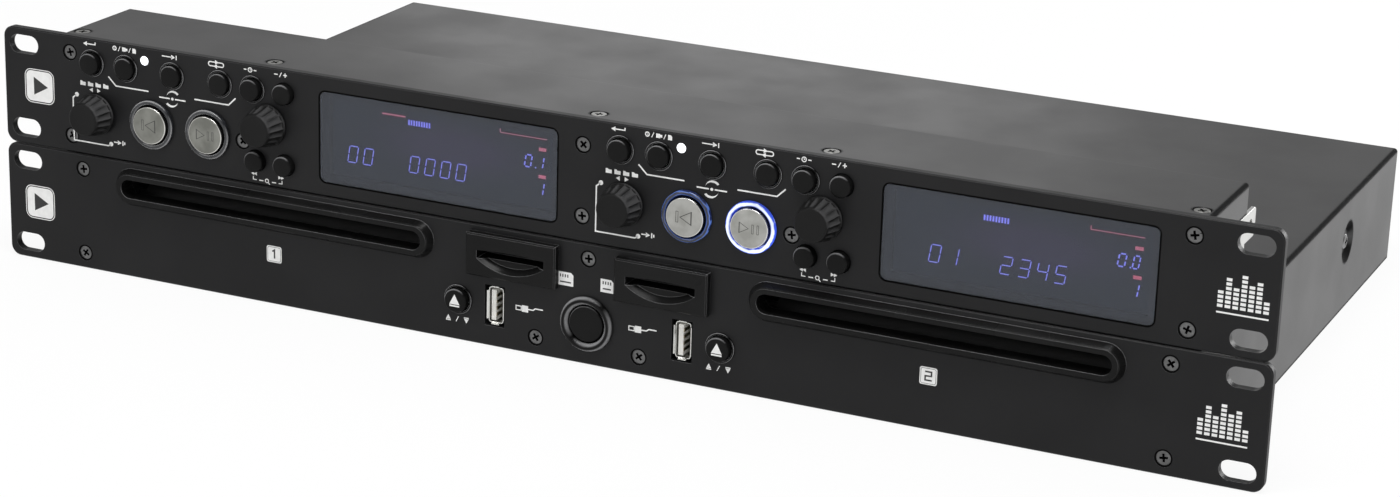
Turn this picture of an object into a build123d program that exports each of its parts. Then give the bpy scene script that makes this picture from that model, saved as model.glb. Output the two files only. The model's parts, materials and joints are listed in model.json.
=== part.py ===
from build123d import *
import os

# A dual disc player for a 19-inch rack: a flat control unit stands on a player unit with two slot-in drives.
# Millimetres. X runs along the panels, Y runs back into the units, Z is up. The origin is the middle of the
# whole outline on the surface that the player stands on. A depth is counted back from the panels' front face,
# and a panel height z is counted up from that panel's own lower edge.

# Rack standard
rack_pitch = 44.45
rack_slot_span = 465.1
rack_slot_rise = 31.75
rack_slot_long = 12.5
rack_slot_wide = 7.0

# Front panels
panel_width = 483.0
panel_height = 44.0
panel_thick = 3.0
panel_corner = 4.0
panel_bevel = 0.4

# Sheet metal boxes
sheet = 1.2
bend = 1.4
player_width = 435.0
player_depth = 260.0
player_top = 44.2
control_width = 434.0
control_depth = 44.0
control_top = 88.35
control_cover_low = 77.5
tray_edge = 12.0
front_wall = 9.5
lip_deep = 10.0
lip_turn = 0.75
control_return = 5.5
player_return = 16.0
lug_long = 11.5
lug_low = 67.45
lug_hole_z = 72.4
lug_hole_r = 2.0

# Fits
past = 1.0
seat_gap = 0.02
button_gap = 0.3
running_gap = 0.05
opening_gap = 0.2

# Decks of the control unit, each with the same layout. A button has its place and how far its cap stands proud.
deck_pitch = 214.0
deck_lefts = {1: -deck_pitch, 2: 0.0}
ringed_buttons = {
    "back": (11.3, 35.0, 3.0),
    "source": (25.8, 35.0, 2.0),
    "single": (45.6, 35.0, 2.0),
    "repeat": (65.9, 35.0, 2.0),
    "time": (79.5, 35.0, 3.0),
}
plain_buttons = {
    "pitch": (92.6, 35.2, 3.0),
    "search_back": (80.7, 8.7, 3.0),
    "search_forward": (92.7, 8.7, 3.0),
}
lit_buttons = {"cue": (36.8, 15.6, 2.4), "play": (60.6, 15.6, 2.4)}
track_knob_at = (12.9, 16.0)
pitch_knob_at = (85.6, 22.7)
lamp_at = (33.9, 39.0)
middle_screws_x = -2.9
deck_screw_at = (75.1, 15.1)

# Display windows, and the modules behind them
window_at = (154.3, 21.8)
window_size = (94.4, 33.5)
window_corner = 2.5
pane_gap = 0.25
pane_near = 0.15
pane_far = 2.6
module_size = (97.4, 36.0)
module_opening = (88.4, 28.5)
tube_size = (91.4, 31.5)
tube_near = 5.0

# Buttons, rings and knobs
ringed_cap_r = 4.0
ringed_cap_edge = 0.5
plain_cap_r = 3.8
plain_cap_edge = 0.6
lit_cap_r = 7.25
lit_cap_edge = 0.8
bezel_r = 5.1
bezel_bore_r = 4.3
bezel_proud = 0.6
light_ring_r = 9.1
light_bore_r = 7.5
light_ring_proud = 1.6
lamp_r = 1.7
lug_near = 3.3
lug_thick = 1.0
lug_reach = 1.1
lug_height = 3.0
stem_side = 2.6
stem_end = 9.0
lit_stem_end = 8.5
knob_reach = 9.5
knob_base_r = 7.75
knob_front_r = 6.0
knob_flutes = 18
flute_half = 0.6
flute_deep = 0.5
shaft_r = 3.0
shaft_bore_r = 3.8
shaft_far = 13.5
track_knob_back = -1.0
pitch_knob_back = -0.5
board_front = 16.0
board_thick = 1.6
board_half = 206.0
post_side = 5.0
switch_side = 6.0
switch_near = 12.5
plunger_side = 3.0
plunger_near = 10.2
encoder_side = 12.0
encoder_near = 8.5
encoder_neck = 8.0
encoder_neck_near = 4.4

# Player front
drive_x = 127.0
slot_z = 34.8
slot_mouth = (125.0, 7.0)
bezel_foot = (133.0, 14.2)
bezel_land = (129.2, 10.6)
bezel_reach = 3.0
bezel_edge = 0.4
barrel_inset = 4.6
barrel_far = 4.5
card_x = 28.8
card_z = 33.9
card_face = (35.0, 15.5)
card_reach = 3.2
card_slot_width = 26.2
card_slot_low = 32.7
card_slot_high = 35.7
card_slot_rise = 0.6
scoop_low = 28.4
scoop_top = 34.5
scoop_far = -0.8
scoop_taper = 38
card_body = (30.0, 6.4)
card_body_z = 34.6
card_body_far = 31.0
card_bay = (24.6, 2.6)
card_bay_z = 34.2
card_bay_far = 29.0
usb_x = 36.2
usb_z = 15.0
usb_hole = (7.8, 15.0)
usb_shell = (5.7, 13.1)
usb_wall = 0.4
usb_flare = 0.5
usb_tongue = (1.8, 11.2)
usb_tongue_near = 1.2
eject_x = 50.6
eject_z = 15.2
eject_cap_r = 4.35
eject_ring = (4.65, 5.4)
eject_ring_proud = 0.7
eject_proud = 3.0
power_z = 15.0
power_cap_r = 6.5
power_ring = (7.0, 10.0)
power_proud = 1.2
power_cap_edge = 0.4
power_lug_near = 4.6

# Slot-in drives
drive_half = 67.5
drive_near = 8.0
drive_far = 152.0
drive_floor = 22.0
drive_roof = 42.0
hub_depth = 78.0
hub_r = 15.0
hub_low = 27.5
motor_r = 12.0
motor_low = 12.0
clamp_rs = (9.0, 16.0)
clamp_low = 38.2
clamp_high = 41.0
foot = 6.0
roller_depth = 15.0
roller_z = 28.2
roller_r = 4.0
axle_r = 1.5
rod_x = 20.0
rod_z = 17.5
rod_near = 90.3
rod_far = 148.5
rod_block = 6.0
lens_depth = 102.0
lens_r = 4.5
sled_half = (24.0, 8.5)

# Back of the player
jack_reach = 8.5
inlet_x = 180.0
inlet_z = 22.0
inlet_body = (27.4, 20.2)
inlet_flange = (31.0, 24.0)
inlet_mouth = (24.4, 16.4)
inlet_deep = 12.5
phono_rs = (5.8, 4.15, 1.7)
phono_body = 9.0
link_z = 22.0
player_link_xs = (-70.0, -30.0)
control_link_z = 66.0
control_link_xs = (-60.0, 60.0)
link_body = (19.0, 11.0)
link_flange = (31.0, 12.6)
link_post = 12.5
socket_deep = 8.0
vents = 12
vent_pitch = 8.0
vent_size = (2.6, 22.0)

# Screws
screw_head_r = 2.6
screw_r = 1.5
screw_end = 6.0
screw_sunk = 0.35
screw_neck_r = 1.6
countersink_r = 3.18
countersink_deep = 1.9
cover_sink_r = 3.3
cover_sink_deep = 1.15
side_screw_depth = 190.0
bracket_half = 10.0
bracket_high = 35.0
side_screw_z = 26.5
dimple_r = 8.0
dimple_floor_r = 5.0
dimple_deep = 1.8

front = -(player_depth + jack_reach - knob_reach) / 2
control_base = rack_pitch
rack_slot_lows = (panel_height - rack_slot_rise) / 2, (panel_height + rack_slot_rise) / 2
control_screws = [(-212.4, 37.7), (212.4, 37.7), (-212.4, 6.1), (212.4, 6.1)]
control_posts = [(middle_screws_x, 34.6), (middle_screws_x, 9.1)]
control_posts += [(left + deck_screw_at[0], deck_screw_at[1]) for left in deck_lefts.values()]
player_screws = [(side * 208.0, z) for side in (-1, 1) for z in (5.9, 38.3)]
player_screws += [(0.0, 38.5), (-20.0, 6.3), (20.0, 6.3)]
cover_screw_xs = [-212.0, -130.0, -1.0, 85.0, 212.0]
cover_screw_depth = 8.0


def block(left, right, near, far, low, high):
    corner = (Align.MIN, Align.MIN, Align.MIN)
    return Pos(left, front + near, low) * Box(right - left, far - near, high - low, align=corner)


def slab(outline, near, far, taper=0.0):
    # an outline drawn in X and Z, carried back from one depth to another
    solid = extrude(outline, far - near, dir=(0, 0, -1), taper=taper)
    return Pos(0, front + near, 0) * Rot(90, 0, 0) * solid


def turned(profile, x, z):
    # a profile of (radius, depth) points, turned about an axis that runs back
    return Pos(x, front, z) * revolve(make_face(Polyline(*profile, close=True)), Axis.Y)


def turned_up(profile, x, depth):
    # a profile of (radius, height) points, turned about an upright axis
    face = Plane.XZ * make_face(Polyline(*profile, close=True))
    return Pos(x, front + depth, 0) * revolve(face, Axis.Z)


def turned_across(profile, x, depth, z):
    # a profile of (distance along X, radius) points, turned about an axis along X
    return Pos(x, front + depth, z) * revolve(make_face(Polyline(*profile, close=True)), Axis.X)


def hole(radius, x, z, near=-past, far=panel_thick + past):
    return turned([(0, near), (radius, near), (radius, far), (0, far)], x, z)


def screw_hole(x, z):
    # the tapped hole behind a panel
    return hole(screw_r + running_gap, x, z, panel_thick - past, screw_end + 2)


def cross_hole(radius, x, depth, z):
    # a hole through a side wall
    return turned_across([(-3, 0), (-3, radius), (3, radius), (3, 0)], x, depth, z)


def back_cut(x, z, size, far):
    # an opening in a back wall, a little larger than what sits in it
    outline = Pos(x, z) * Rectangle(size[0] + opening_gap, size[1] + opening_gap)
    return slab(outline, far - sheet - past, far + past)


def ring(inner, outer, proud, back):
    # a bevelled ring that stands proud of the panel, with a barrel through it
    soft = (outer - inner) / 2
    return [(inner, back), (outer, back), (outer, soft - proud), (outer - soft, -proud), (inner, -proud)]


def push_button(x, z, radius, proud, edge, back=stem_end, near=lug_near):
    # a bevelled cap, two lugs that hold it behind the panel, and a square stem
    far = near + lug_thick
    profile = [(0, -proud), (radius - edge, -proud), (radius, edge - proud), (radius, far), (0, far)]
    lugs = slab(Pos(x, z) * Rectangle(2 * (radius + lug_reach), lug_height), near, far)
    stem = slab(Pos(x, z) * Rectangle(stem_side, stem_side), far, back)
    return turned(profile, x, z) + lugs + stem


def countersink(x, z):
    far = panel_thick + past
    neck = screw_neck_r, countersink_deep
    return turned([(0, -0.1), (countersink_r, -0.1), neck, (screw_neck_r, far), (0, far)], x, z)


def panel_screw(x, z):
    return turned(
        [
            (0, screw_sunk),
            (screw_head_r, screw_sunk),
            (screw_r, countersink_deep),
            (screw_r, screw_end),
            (0, screw_end),
        ],
        x,
        z,
    )


def rack_panel(base):
    outline = Pos(0, base + panel_height / 2) * RectangleRounded(panel_width, panel_height, panel_corner)
    plate = slab(outline, 0, panel_thick)
    face = plate.faces().sort_by(Axis.Y)[0]
    plate = chamfer(face.edges(), panel_bevel)
    cuts = []
    for side in (-1, 1):
        for z in rack_slot_lows:
            slot = Pos(side * rack_slot_span / 2, base + z) * SlotOverall(rack_slot_long, rack_slot_wide)
            cuts.append(slab(slot, -past, panel_thick + past))
    return plate - cuts


def folded_cover(width, low, top, near, far):
    # a plate with both sides folded down
    outer = Pos(0, (low + top) / 2) * Rectangle(width, top - low)
    outer = fillet(outer.vertices().group_by(Axis.Y)[-1], bend)
    inner = Pos(0, (low + top - sheet) / 2) * Rectangle(width - 2 * sheet, top - sheet - low)
    return slab(outer - inner, near, far)


def deck_places(at):
    # one place of the deck layout, on both decks
    return {deck: (left + at[0], control_base + at[1]) for deck, left in deck_lefts.items()}


def save(name, *solids):
    shape = solids[0] if len(solids) == 1 else Compound(children=list(solids))
    export_step(shape, f"parts/{name}.step")


# Control unit, fixed pieces


def control_front_panel():
    radii = [(ringed_buttons, bezel_r + seat_gap), (plain_buttons, plain_cap_r + button_gap)]
    radii.append((lit_buttons, light_ring_r + seat_gap))
    cuts = [countersink(x, control_base + z) for x, z in control_screws + control_posts]
    for buttons, radius in radii:
        for at in buttons.values():
            cuts += [hole(radius, x, z) for x, z in deck_places(at).values()]
    bores = [(track_knob_at, shaft_bore_r), (pitch_knob_at, shaft_bore_r), (lamp_at, lamp_r + seat_gap)]
    for at, radius in bores:
        cuts += [hole(radius, x, z) for x, z in deck_places(at).values()]
    for x, z in deck_places(window_at).values():
        cuts.append(slab(Pos(x, z) * RectangleRounded(*window_size, window_corner), -past, panel_thick + past))
    return rack_panel(control_base) - cuts


def control_chassis():
    inner = control_width / 2 - sheet
    floor_z = player_top
    wall_top = control_top - sheet
    far = control_depth
    tray = block(-inner, inner, panel_thick, far, floor_z, floor_z + sheet)
    tray += block(-inner, inner, far - sheet, far, floor_z, wall_top)
    lip_z = wall_top - sheet
    tray += block(-inner, inner, panel_thick, panel_thick + lip_deep, lip_z, wall_top)
    tray += block(-inner, inner, panel_thick, panel_thick + sheet, lip_z - lip_turn, wall_top)
    cuts = []
    for side in (-1, 1):
        outer_x, inner_x, return_x = side * (inner + sheet), side * inner, side * (inner - control_return)
        left, right = sorted((inner_x, outer_x))
        tray += block(left, right, panel_thick, far, floor_z, control_cover_low)
        lug = block(left, right, far - sheet, far + lug_long, lug_low, control_cover_low)
        tray += fillet(lug.edges().filter_by(Axis.X).group_by(Axis.Y)[-1], lug_hole_r)
        cuts.append(cross_hole(lug_hole_r, outer_x, far + lug_long / 2, lug_hole_z))
        left, right = sorted((return_x, inner_x))
        tray += block(left, right, panel_thick, panel_thick + sheet, floor_z, wall_top)
    cuts += [back_cut(x, control_link_z, link_body, far) for x in control_link_xs]
    cuts += [screw_hole(x, control_base + z) for x, z in control_screws]
    tap, low = screw_r + running_gap, lip_z - past
    tapped = [(0, low), (tap, low), (tap, control_top), (0, control_top)]
    cuts += [turned_up(tapped, x, cover_screw_depth) for x in cover_screw_xs]
    return tray - cuts


def control_cover():
    cover = folded_cover(control_width, control_cover_low, control_top, panel_thick, control_depth)
    top = control_top
    low, edge, high = top - sheet - past, top - cover_sink_deep, top + 0.1
    sink = [(0, low), (screw_neck_r, low), (screw_neck_r, edge), (cover_sink_r, high), (0, high)]
    return cover - [turned_up(sink, x, cover_screw_depth) for x in cover_screw_xs]


def display_windows():
    width, height = window_size
    pane = RectangleRounded(width - 2 * pane_gap, height - 2 * pane_gap, window_corner - pane_gap)
    return [slab(Pos(x, z) * pane, pane_near, pane_far) for x, z in deck_places(window_at).values()]


def display_modules():
    # a frame behind the window, with the display tube set back in it
    modules = []
    for x, z in deck_places(window_at).values():
        frame = slab(Pos(x, z) * Rectangle(*module_size), panel_thick, tube_near)
        frame -= slab(Pos(x, z) * Rectangle(*module_opening), panel_thick - past, tube_near + past)
        tube = slab(Pos(x, z) * Rectangle(*tube_size), tube_near, board_front)
        modules.append(frame + tube)
    return modules


def light_rings():
    profile = ring(light_bore_r, light_ring_r, light_ring_proud, panel_thick)
    return [turned(profile, x, z) for at in lit_buttons.values() for x, z in deck_places(at).values()]


def button_bezels():
    profile = ring(bezel_bore_r, bezel_r, bezel_proud, panel_thick)
    return [turned(profile, x, z) for at in ringed_buttons.values() for x, z in deck_places(at).values()]


def indicator_lamps():
    # a domed light pipe
    profile = [(0, -0.7), (1.0, -0.55), (lamp_r, 0.1), (lamp_r, 5.0), (0, 5.0)]
    return [turned(profile, x, z) for x, z in deck_places(lamp_at).values()]


def pillars(left, right, near, far, low, high):
    # four square feet under the corners of a board
    feet = []
    for x in (left, right - foot):
        for depth in (near, far - foot):
            feet.append(block(x, x + foot, depth, depth + foot, low, high))
    return feet


def circuit_boards():
    near, far = board_front, board_front + board_thick
    control = block(-board_half, board_half, near, far, control_base + 4, control_base + 41)
    for x, z in control_posts:
        control += slab(Pos(x, control_base + z) * Rectangle(post_side, post_side), panel_thick, near)
        control -= screw_hole(x, control_base + z)
    front_board = block(-57, 57, near, far, 2, 25)
    front_board += block(-3, 3, near - 2.0, near, sheet, 5)
    main_low = 10.0
    main_top = main_low + board_thick
    main = block(-55, 55, 40, 240, main_low, main_top) + pillars(-48, 48, 55, 231, sheet, main_low)
    chips = {"processor": (-22, 120, 24), "memory": (25, 100, 16), "decoder": (20, 160, 20)}
    for x, depth, size in chips.values():
        main += block(x - size / 2, x + size / 2, depth, depth + size, main_top, main_top + 2.4)
    main += block(-50, 50, 44, 52, main_top, 20)
    return [control, front_board, main]


def push_switch(x, z):
    body = slab(Pos(x, z) * Rectangle(switch_side, switch_side), switch_near, board_front)
    return body + slab(Pos(x, z) * Rectangle(plunger_side, plunger_side), plunger_near, switch_near)


def encoder(x, z):
    body = slab(Pos(x, z) * Rectangle(encoder_side, encoder_side), encoder_near, board_front)
    body += slab(Pos(x, z) * Rectangle(encoder_neck, encoder_neck), encoder_neck_near, encoder_near)
    return body - hole(shaft_r + running_gap, x, z, encoder_neck_near - past, shaft_far + past)


def panel_switches():
    # a push switch behind each button, and an encoder behind each knob
    solids = []
    for buttons in (ringed_buttons, plain_buttons, lit_buttons):
        for at in buttons.values():
            solids += [push_switch(x, z) for x, z in deck_places(at).values()]
    solids += [push_switch(x, eject_z) for x in (-eject_x, eject_x)]
    for at in (track_knob_at, pitch_knob_at):
        solids += [encoder(x, z) for x, z in deck_places(at).values()]
    solids.append(slab(Pos(0, power_z) * Rectangle(9, 9), 12.6, board_front))
    return solids


def link_sockets():
    places = [(x, control_link_z, control_depth) for x in control_link_xs]
    places += [(x, link_z, player_depth) for x in player_link_xs]
    solids = []
    for x, z, back in places:
        socket = slab(Pos(x, z) * RectangleRounded(*link_flange, 1.5), back, back + 0.8)
        mouth = Pos(x, z) * Trapezoid(17.2, 8.4, 80, 80, rotation=180)
        socket += slab(mouth, back, back + 6.0)
        socket += slab(Pos(x, z) * Rectangle(*link_body), back - socket_deep, back)
        for side in (-1, 1):
            post = Pos(x + side * link_post, z) * RegularPolygon(2.6, 6)
            socket += slab(post, back, back + 5.4)
        solids.append(socket)
    return solids


# Control unit, moving pieces


def knob(x, z, back, stem_far=None):
    # a tapered knob with flutes that run out at its face
    body = turned(
        [
            (0, -knob_reach),
            (knob_front_r - 0.3, -knob_reach),
            (knob_front_r, 0.3 - knob_reach),
            (knob_base_r - 0.2, back - 1.4),
            (knob_base_r, back - 0.9),
            (knob_base_r, back),
            (0, back),
        ],
        x,
        z,
    )
    reach = back - 1.6 + knob_reach
    slope = (knob_base_r - 0.2 - knob_front_r) / (reach - 0.1)
    start = Vector(knob_front_r - 0.5 * slope, -knob_reach - 0.5, 0)
    along = Vector(slope, 1, 0)
    flute_plane = Plane(origin=start, x_dir=(0, 0, 1), z_dir=along)
    notch = Polyline((-flute_half, 0.3), (flute_half, 0.3), (0, -flute_deep), close=True)
    flute = extrude(flute_plane * make_face(notch), reach + 0.2)
    cuts = [Pos(x, front, z) * Rot(0, 360 / knob_flutes * turn, 0) * flute for turn in range(knob_flutes)]
    body -= cuts
    if stem_far is None:
        return body - hole(shaft_r + running_gap, x, z, 1.3 - knob_reach, 1)
    return body + hole(shaft_r, x, z, back - 1, stem_far)


def deck_buttons():
    for deck in deck_lefts:
        for name, at in ringed_buttons.items():
            x, z = deck_places(at)[deck]
            save(f"{name}_button_{deck}", push_button(x, z, ringed_cap_r, at[2], ringed_cap_edge))
        for name, at in plain_buttons.items():
            x, z = deck_places(at)[deck]
            save(f"{name}_button_{deck}", push_button(x, z, plain_cap_r, at[2], plain_cap_edge))
        for name, at in lit_buttons.items():
            x, z = deck_places(at)[deck]
            save(f"{name}_button_{deck}", push_button(x, z, lit_cap_r, at[2], lit_cap_edge, lit_stem_end))


def deck_knobs():
    for deck in deck_lefts:
        x, z = deck_places(track_knob_at)[deck]
        save(f"track_knob_{deck}", knob(x, z, track_knob_back))
        save(f"track_spindle_{deck}", hole(shaft_r, x, z, 1.8 - knob_reach, shaft_far))
        x, z = deck_places(pitch_knob_at)[deck]
        save(f"pitch_knob_{deck}", knob(x, z, pitch_knob_back, shaft_far))


# Player unit, fixed pieces


def player_front_panel():
    cuts = [countersink(x, z) for x, z in player_screws]
    for side in (-1, 1):
        inset = barrel_inset - 2 * opening_gap
        mouth = Pos(side * drive_x, slot_z) * SlotOverall(bezel_foot[0] - inset, bezel_foot[1] - inset)
        cuts.append(slab(mouth, -past, panel_thick + past))
        card = Pos(side * card_x, card_z) * Rectangle(card_face[0] - 2.8, card_face[1] - 2.8)
        cuts.append(slab(card, -past, panel_thick + past))
        usb = Pos(side * usb_x, usb_z) * Rectangle(*usb_hole)
        cuts.append(slab(usb, -past, panel_thick + past))
        cuts.append(hole(eject_ring[1] + seat_gap, side * eject_x, eject_z))
    cuts.append(hole(power_ring[1] - 1.2, 0, power_z))
    return rack_panel(0) - cuts


def player_chassis():
    inner = player_width / 2 - sheet
    far = player_depth
    top = player_top - sheet
    near = panel_thick
    tray = block(-inner, inner, near, far, 0, sheet)
    tray += block(-inner, inner, far - sheet, far, 0, top)
    tray += block(-inner, inner, near, near + sheet, 0, front_wall)
    tray += block(-10.8, 10.8, near, near + sheet, 0, top)
    cuts = [screw_hole(x, z) for x, z in player_screws]
    cuts.append(hole(power_cap_r + 0.6, 0, power_z, 2, 6))
    for side in (-1, 1):
        outer_x, inner_x = side * inner, side * (inner - sheet)
        left, right = sorted((outer_x, inner_x))
        tray += block(left, right, near, far, 0, tray_edge)
        left, right = sorted((outer_x, side * (inner - player_return)))
        tray += block(left, right, near, near + sheet, 0, top)
        floor_x = side * (player_width / 2 - dimple_deep - sheet)
        left, right = sorted((floor_x, floor_x - side * sheet))
        bracket_near, bracket_far = side_screw_depth - bracket_half, side_screw_depth + bracket_half
        tray += block(left, right, bracket_near, bracket_far, 0, bracket_high)
        cuts.append(cross_hole(screw_r + running_gap, floor_x, side_screw_depth, side_screw_z))
        usb_gap = Pos(side * usb_x, usb_z) * Rectangle(usb_shell[0] + 2, usb_shell[1] + 2)
        cuts.append(slab(usb_gap, 2, 5))
    cuts.append(back_cut(inlet_x, inlet_z, inlet_body, far))
    cuts += [back_cut(x, z, (phono_body, phono_body), far) for x, z in audio_places()]
    cuts += [back_cut(x, link_z, link_body, far) for x in player_link_xs]
    cuts += [back_cut(20 + vent_pitch * vent, link_z, vent_size, far) for vent in range(vents)]
    return tray - cuts


def dimple(side):
    # the pressed cup that holds the side screw below the surface, as a lining and as what it cuts away
    deep, floor = dimple_deep, dimple_deep + sheet
    cup = [(0, dimple_r + 0.9), (0, dimple_r), (-deep, dimple_floor_r), (-deep, screw_r + 0.2)]
    cup += [(-floor, screw_r + 0.2), (-floor, dimple_floor_r + 0.7)]
    gap = [(1, 0), (1, dimple_r), (0, dimple_r), (-deep, dimple_floor_r), (-floor, dimple_floor_r), (-floor, 0)]
    x = side * player_width / 2
    lining = turned_across([(side * along, radius) for along, radius in cup], x, side_screw_depth, side_screw_z)
    cut = turned_across([(side * along, radius) for along, radius in gap], x, side_screw_depth, side_screw_z)
    return lining, cut


def player_cover():
    cover = folded_cover(player_width, 0, player_top, panel_thick, player_depth)
    for side in (-1, 1):
        lining, cut = dimple(side)
        cover = cover - cut + lining
    return cover


def slot_bezels():
    # a raised lip: a sloped flank up to a narrow land, with a barrel through the panel
    solids = []
    sections = [(bezel_foot, 0), ((bezel_land[0] + 0.8, bezel_land[1] + 0.8), bezel_edge - bezel_reach)]
    sections.append((bezel_land, -bezel_reach))
    for side in (-1, 1):
        rings = []
        for (width, height), depth in sections:
            plane = Plane(origin=(side * drive_x, front + depth, slot_z), x_dir=(1, 0, 0), z_dir=(0, -1, 0))
            rings.append(plane * SlotOverall(width, height))
        lip = loft(rings, ruled=True)
        middle = Pos(side * drive_x, slot_z)
        barrel = SlotOverall(bezel_foot[0] - barrel_inset, bezel_foot[1] - barrel_inset)
        lip += slab(middle * barrel, 0, barrel_far)
        solids.append(lip - slab(middle * SlotOverall(*slot_mouth), -bezel_reach - past, barrel_far + past))
    return solids


def card_slot(x, low, high, rise):
    # a slot with a gently arched upper edge
    half = card_slot_width / 2
    base = Polyline((x - half, high), (x - half, low), (x + half, low), (x + half, high))
    arch = ThreePointArc((x - half, high), (x, high + rise), (x + half, high))
    return make_face(base + arch)


def finger_scoop(x, chord, low, top):
    half = card_slot_width / 2
    sides = Polyline((x - half, chord), (x - half, top), (x + half, top), (x + half, chord))
    bowl = ThreePointArc((x - half, chord), (x, low), (x + half, chord))
    return make_face(sides + bowl)


def card_readers():
    solids = []
    for side in (-1, 1):
        x = side * card_x
        middle = Pos(x, card_z)
        face = slab(middle * Rectangle(*card_face), -card_reach, 0)
        face = chamfer(face.faces().sort_by(Axis.Y)[0].edges(), 0.5)
        reader = face + slab(middle * Rectangle(card_face[0] - 3, card_face[1] - 3), 0, 5)
        reader += slab(Pos(x, card_body_z) * Rectangle(*card_body), 5, card_body_far)
        reader -= slab(card_slot(x, card_slot_low, card_slot_high, card_slot_rise), -card_reach - past, 5)
        reader -= slab(Pos(x, card_bay_z) * Rectangle(*card_bay), 4, card_bay_far)
        scoop = finger_scoop(x, card_slot_low, scoop_low, scoop_top)
        reader -= slab(scoop, -card_reach, scoop_far, scoop_taper)
        solids.append(reader)
    return solids


def usb_sockets():
    solids = []
    width, height = usb_shell
    for side in (-1, 1):
        middle = Pos(side * usb_x, usb_z)
        shell = slab(middle * Rectangle(width, height), -0.3, board_front)
        flare = RectangleRounded(width + 2 * usb_flare, height + 2 * usb_flare, 0.9)
        shell += slab(middle * flare, -0.7, -0.3)
        bore = Rectangle(width - 2 * usb_wall, height - 2 * usb_wall)
        solids.append(shell - slab(middle * bore, -past, board_front - 1))
    return solids


def usb_tongues():
    width, height = usb_tongue
    tongues = []
    for side in (-1, 1):
        middle = Pos(side * usb_x + 0.05 - width / 2, usb_z)
        tongues.append(slab(middle * Rectangle(width, height), usb_tongue_near, board_front - 1))
    return tongues


def push_rings():
    rings = [turned(ring(*eject_ring, eject_ring_proud, panel_thick), x, eject_z) for x in (-eject_x, eject_x)]
    inner, outer = power_ring
    barrel = outer - 1.3
    torus = [(inner, panel_thick), (barrel, panel_thick), (barrel, 0), (outer, 0)]
    torus += [(outer - 0.5, -1.6), (outer - 1.4, -2.2), (inner, -1.2)]
    rings.append(turned(torus, 0, power_z))
    return rings


def audio_places():
    return [(-190.0, 31.0), (-190.0, 13.0), (-168.0, 31.0), (-168.0, 13.0), (-140.0, 22.0), (-118.0, 22.0)]


def audio_sockets():
    # phono jacks: an insulating collar, a barrel and the contact bore
    back, end = player_depth, player_depth + jack_reach
    collar, barrel, bore = phono_rs
    profile = [(0, back), (collar, back), (collar, back + 1), (barrel, back + 1), (barrel, end)]
    profile += [(bore, end), (bore, back + 1), (0, back + 1)]
    sockets = []
    for x, z in audio_places():
        body = slab(Pos(x, z) * Rectangle(phono_body, phono_body), back - socket_deep, back)
        sockets.append(body + turned(profile, x, z))
    return sockets


def mains_inlet():
    far = player_depth
    middle = Pos(inlet_x, inlet_z)
    body = slab(middle * Rectangle(*inlet_body), far - inlet_deep - 2.5, far)
    body += slab(middle * RectangleRounded(*inlet_flange, 2), far, far + 1.8)
    mouth = Rectangle(*inlet_mouth)
    mouth = chamfer(mouth.vertices().group_by(Axis.Y)[-1], 4.0)
    body -= slab(middle * mouth, far - inlet_deep, far + 3)
    for x, z in ((-7.0, -1.0), (7.0, -1.0), (0.0, 3.0)):
        body += slab(middle * Pos(x, z) * Rectangle(2, 4), far - inlet_deep, far - 0.5)
    return body


def power_supply():
    # a board with its transformer, two capacitors and a finned heat sink
    low = 8.0
    floor = low + board_thick
    supply = block(75, 195, 165, 240, low, floor) + pillars(78, 192, 168, 237, sheet, low)
    supply += block(135, 185, 178, 222, floor, 38)
    supply += block(130, 190, 188, 212, floor, 34)
    for depth in (182, 204):
        supply += turned_up([(0, floor), (8, floor), (8, 34), (0, 34)], 116, depth)
    supply += block(82, 85, 178, 226, floor, 36)
    for fin in range(7):
        near = 179 + 7.5 * fin
        supply += block(85, 97, near, near + 1.5, floor, 36)
    return supply


# Player unit, drives


def drive_frame(x):
    # side walls, floor and roof round the disc path, with the motor, the clamp and the sled rods
    wall = drive_half - 1.5
    near, far, low, high = drive_near, drive_far, drive_floor, drive_roof
    frame = block(x - drive_half, x + drive_half, near, far, low, low + sheet)
    frame += block(x - drive_half, x - wall, near, far, low, high)
    frame += block(x + wall, x + drive_half, near, far, low, high)
    frame += block(x - wall, x + wall, near, far, high - sheet, high)
    frame += block(x - wall, x + wall, far - sheet, far, low, high)
    frame += block(x - wall, x + wall, near + 2, near + 6, 37.8, high)
    bore, rim = clamp_rs
    clamp = [(bore, clamp_low), (rim, clamp_low), (rim, clamp_high), (bore, clamp_high)]
    frame += turned_up(clamp, x, hub_depth)
    frame += turned_up([(0, motor_low), (motor_r, motor_low), (motor_r, low), (0, low)], x, hub_depth)
    frame += pillars(x - 63, x + 63, 11, 149, sheet, low)
    for dx in (-rod_x, rod_x):
        left, right = x + dx - rod_block / 2, x + dx + rod_block / 2
        for depth in (rod_near, rod_far - 2.5):
            frame += block(left, right, depth, depth + 2.5, rod_z - 2.5, low)
        frame += hole(axle_r, x + dx, rod_z, rod_near, rod_far)
    cuts = [block(x - 7, x + 7, 96.5, 141.5, low - 1, low + 2)]
    fit, past_wall = axle_r + running_gap, drive_half + past
    shaft_low = motor_low + 1
    cuts.append(turned_up([(0, shaft_low), (fit, shaft_low), (fit, low + 2), (0, low + 2)], x, hub_depth))
    axle_bore = [(-past_wall, 0), (-past_wall, fit), (past_wall, fit), (past_wall, 0)]
    cuts.append(turned_across(axle_bore, x, roller_depth, roller_z))
    for window in range(3):
        left = x - 52 + 36 * window
        cuts.append(block(left, left + 30, 112, 142, high - 2, high + 1))
    return frame - cuts


def loading_roller(x):
    # a rubber sleeve on a steel axle
    half, end = drive_half - 6.5, drive_half - 0.3
    profile = [(-end, 0), (-end, axle_r), (-half, axle_r), (-half, roller_r)]
    profile += [(half, roller_r), (half, axle_r), (end, axle_r), (end, 0)]
    return turned_across(profile, x, roller_depth, roller_z)


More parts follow.
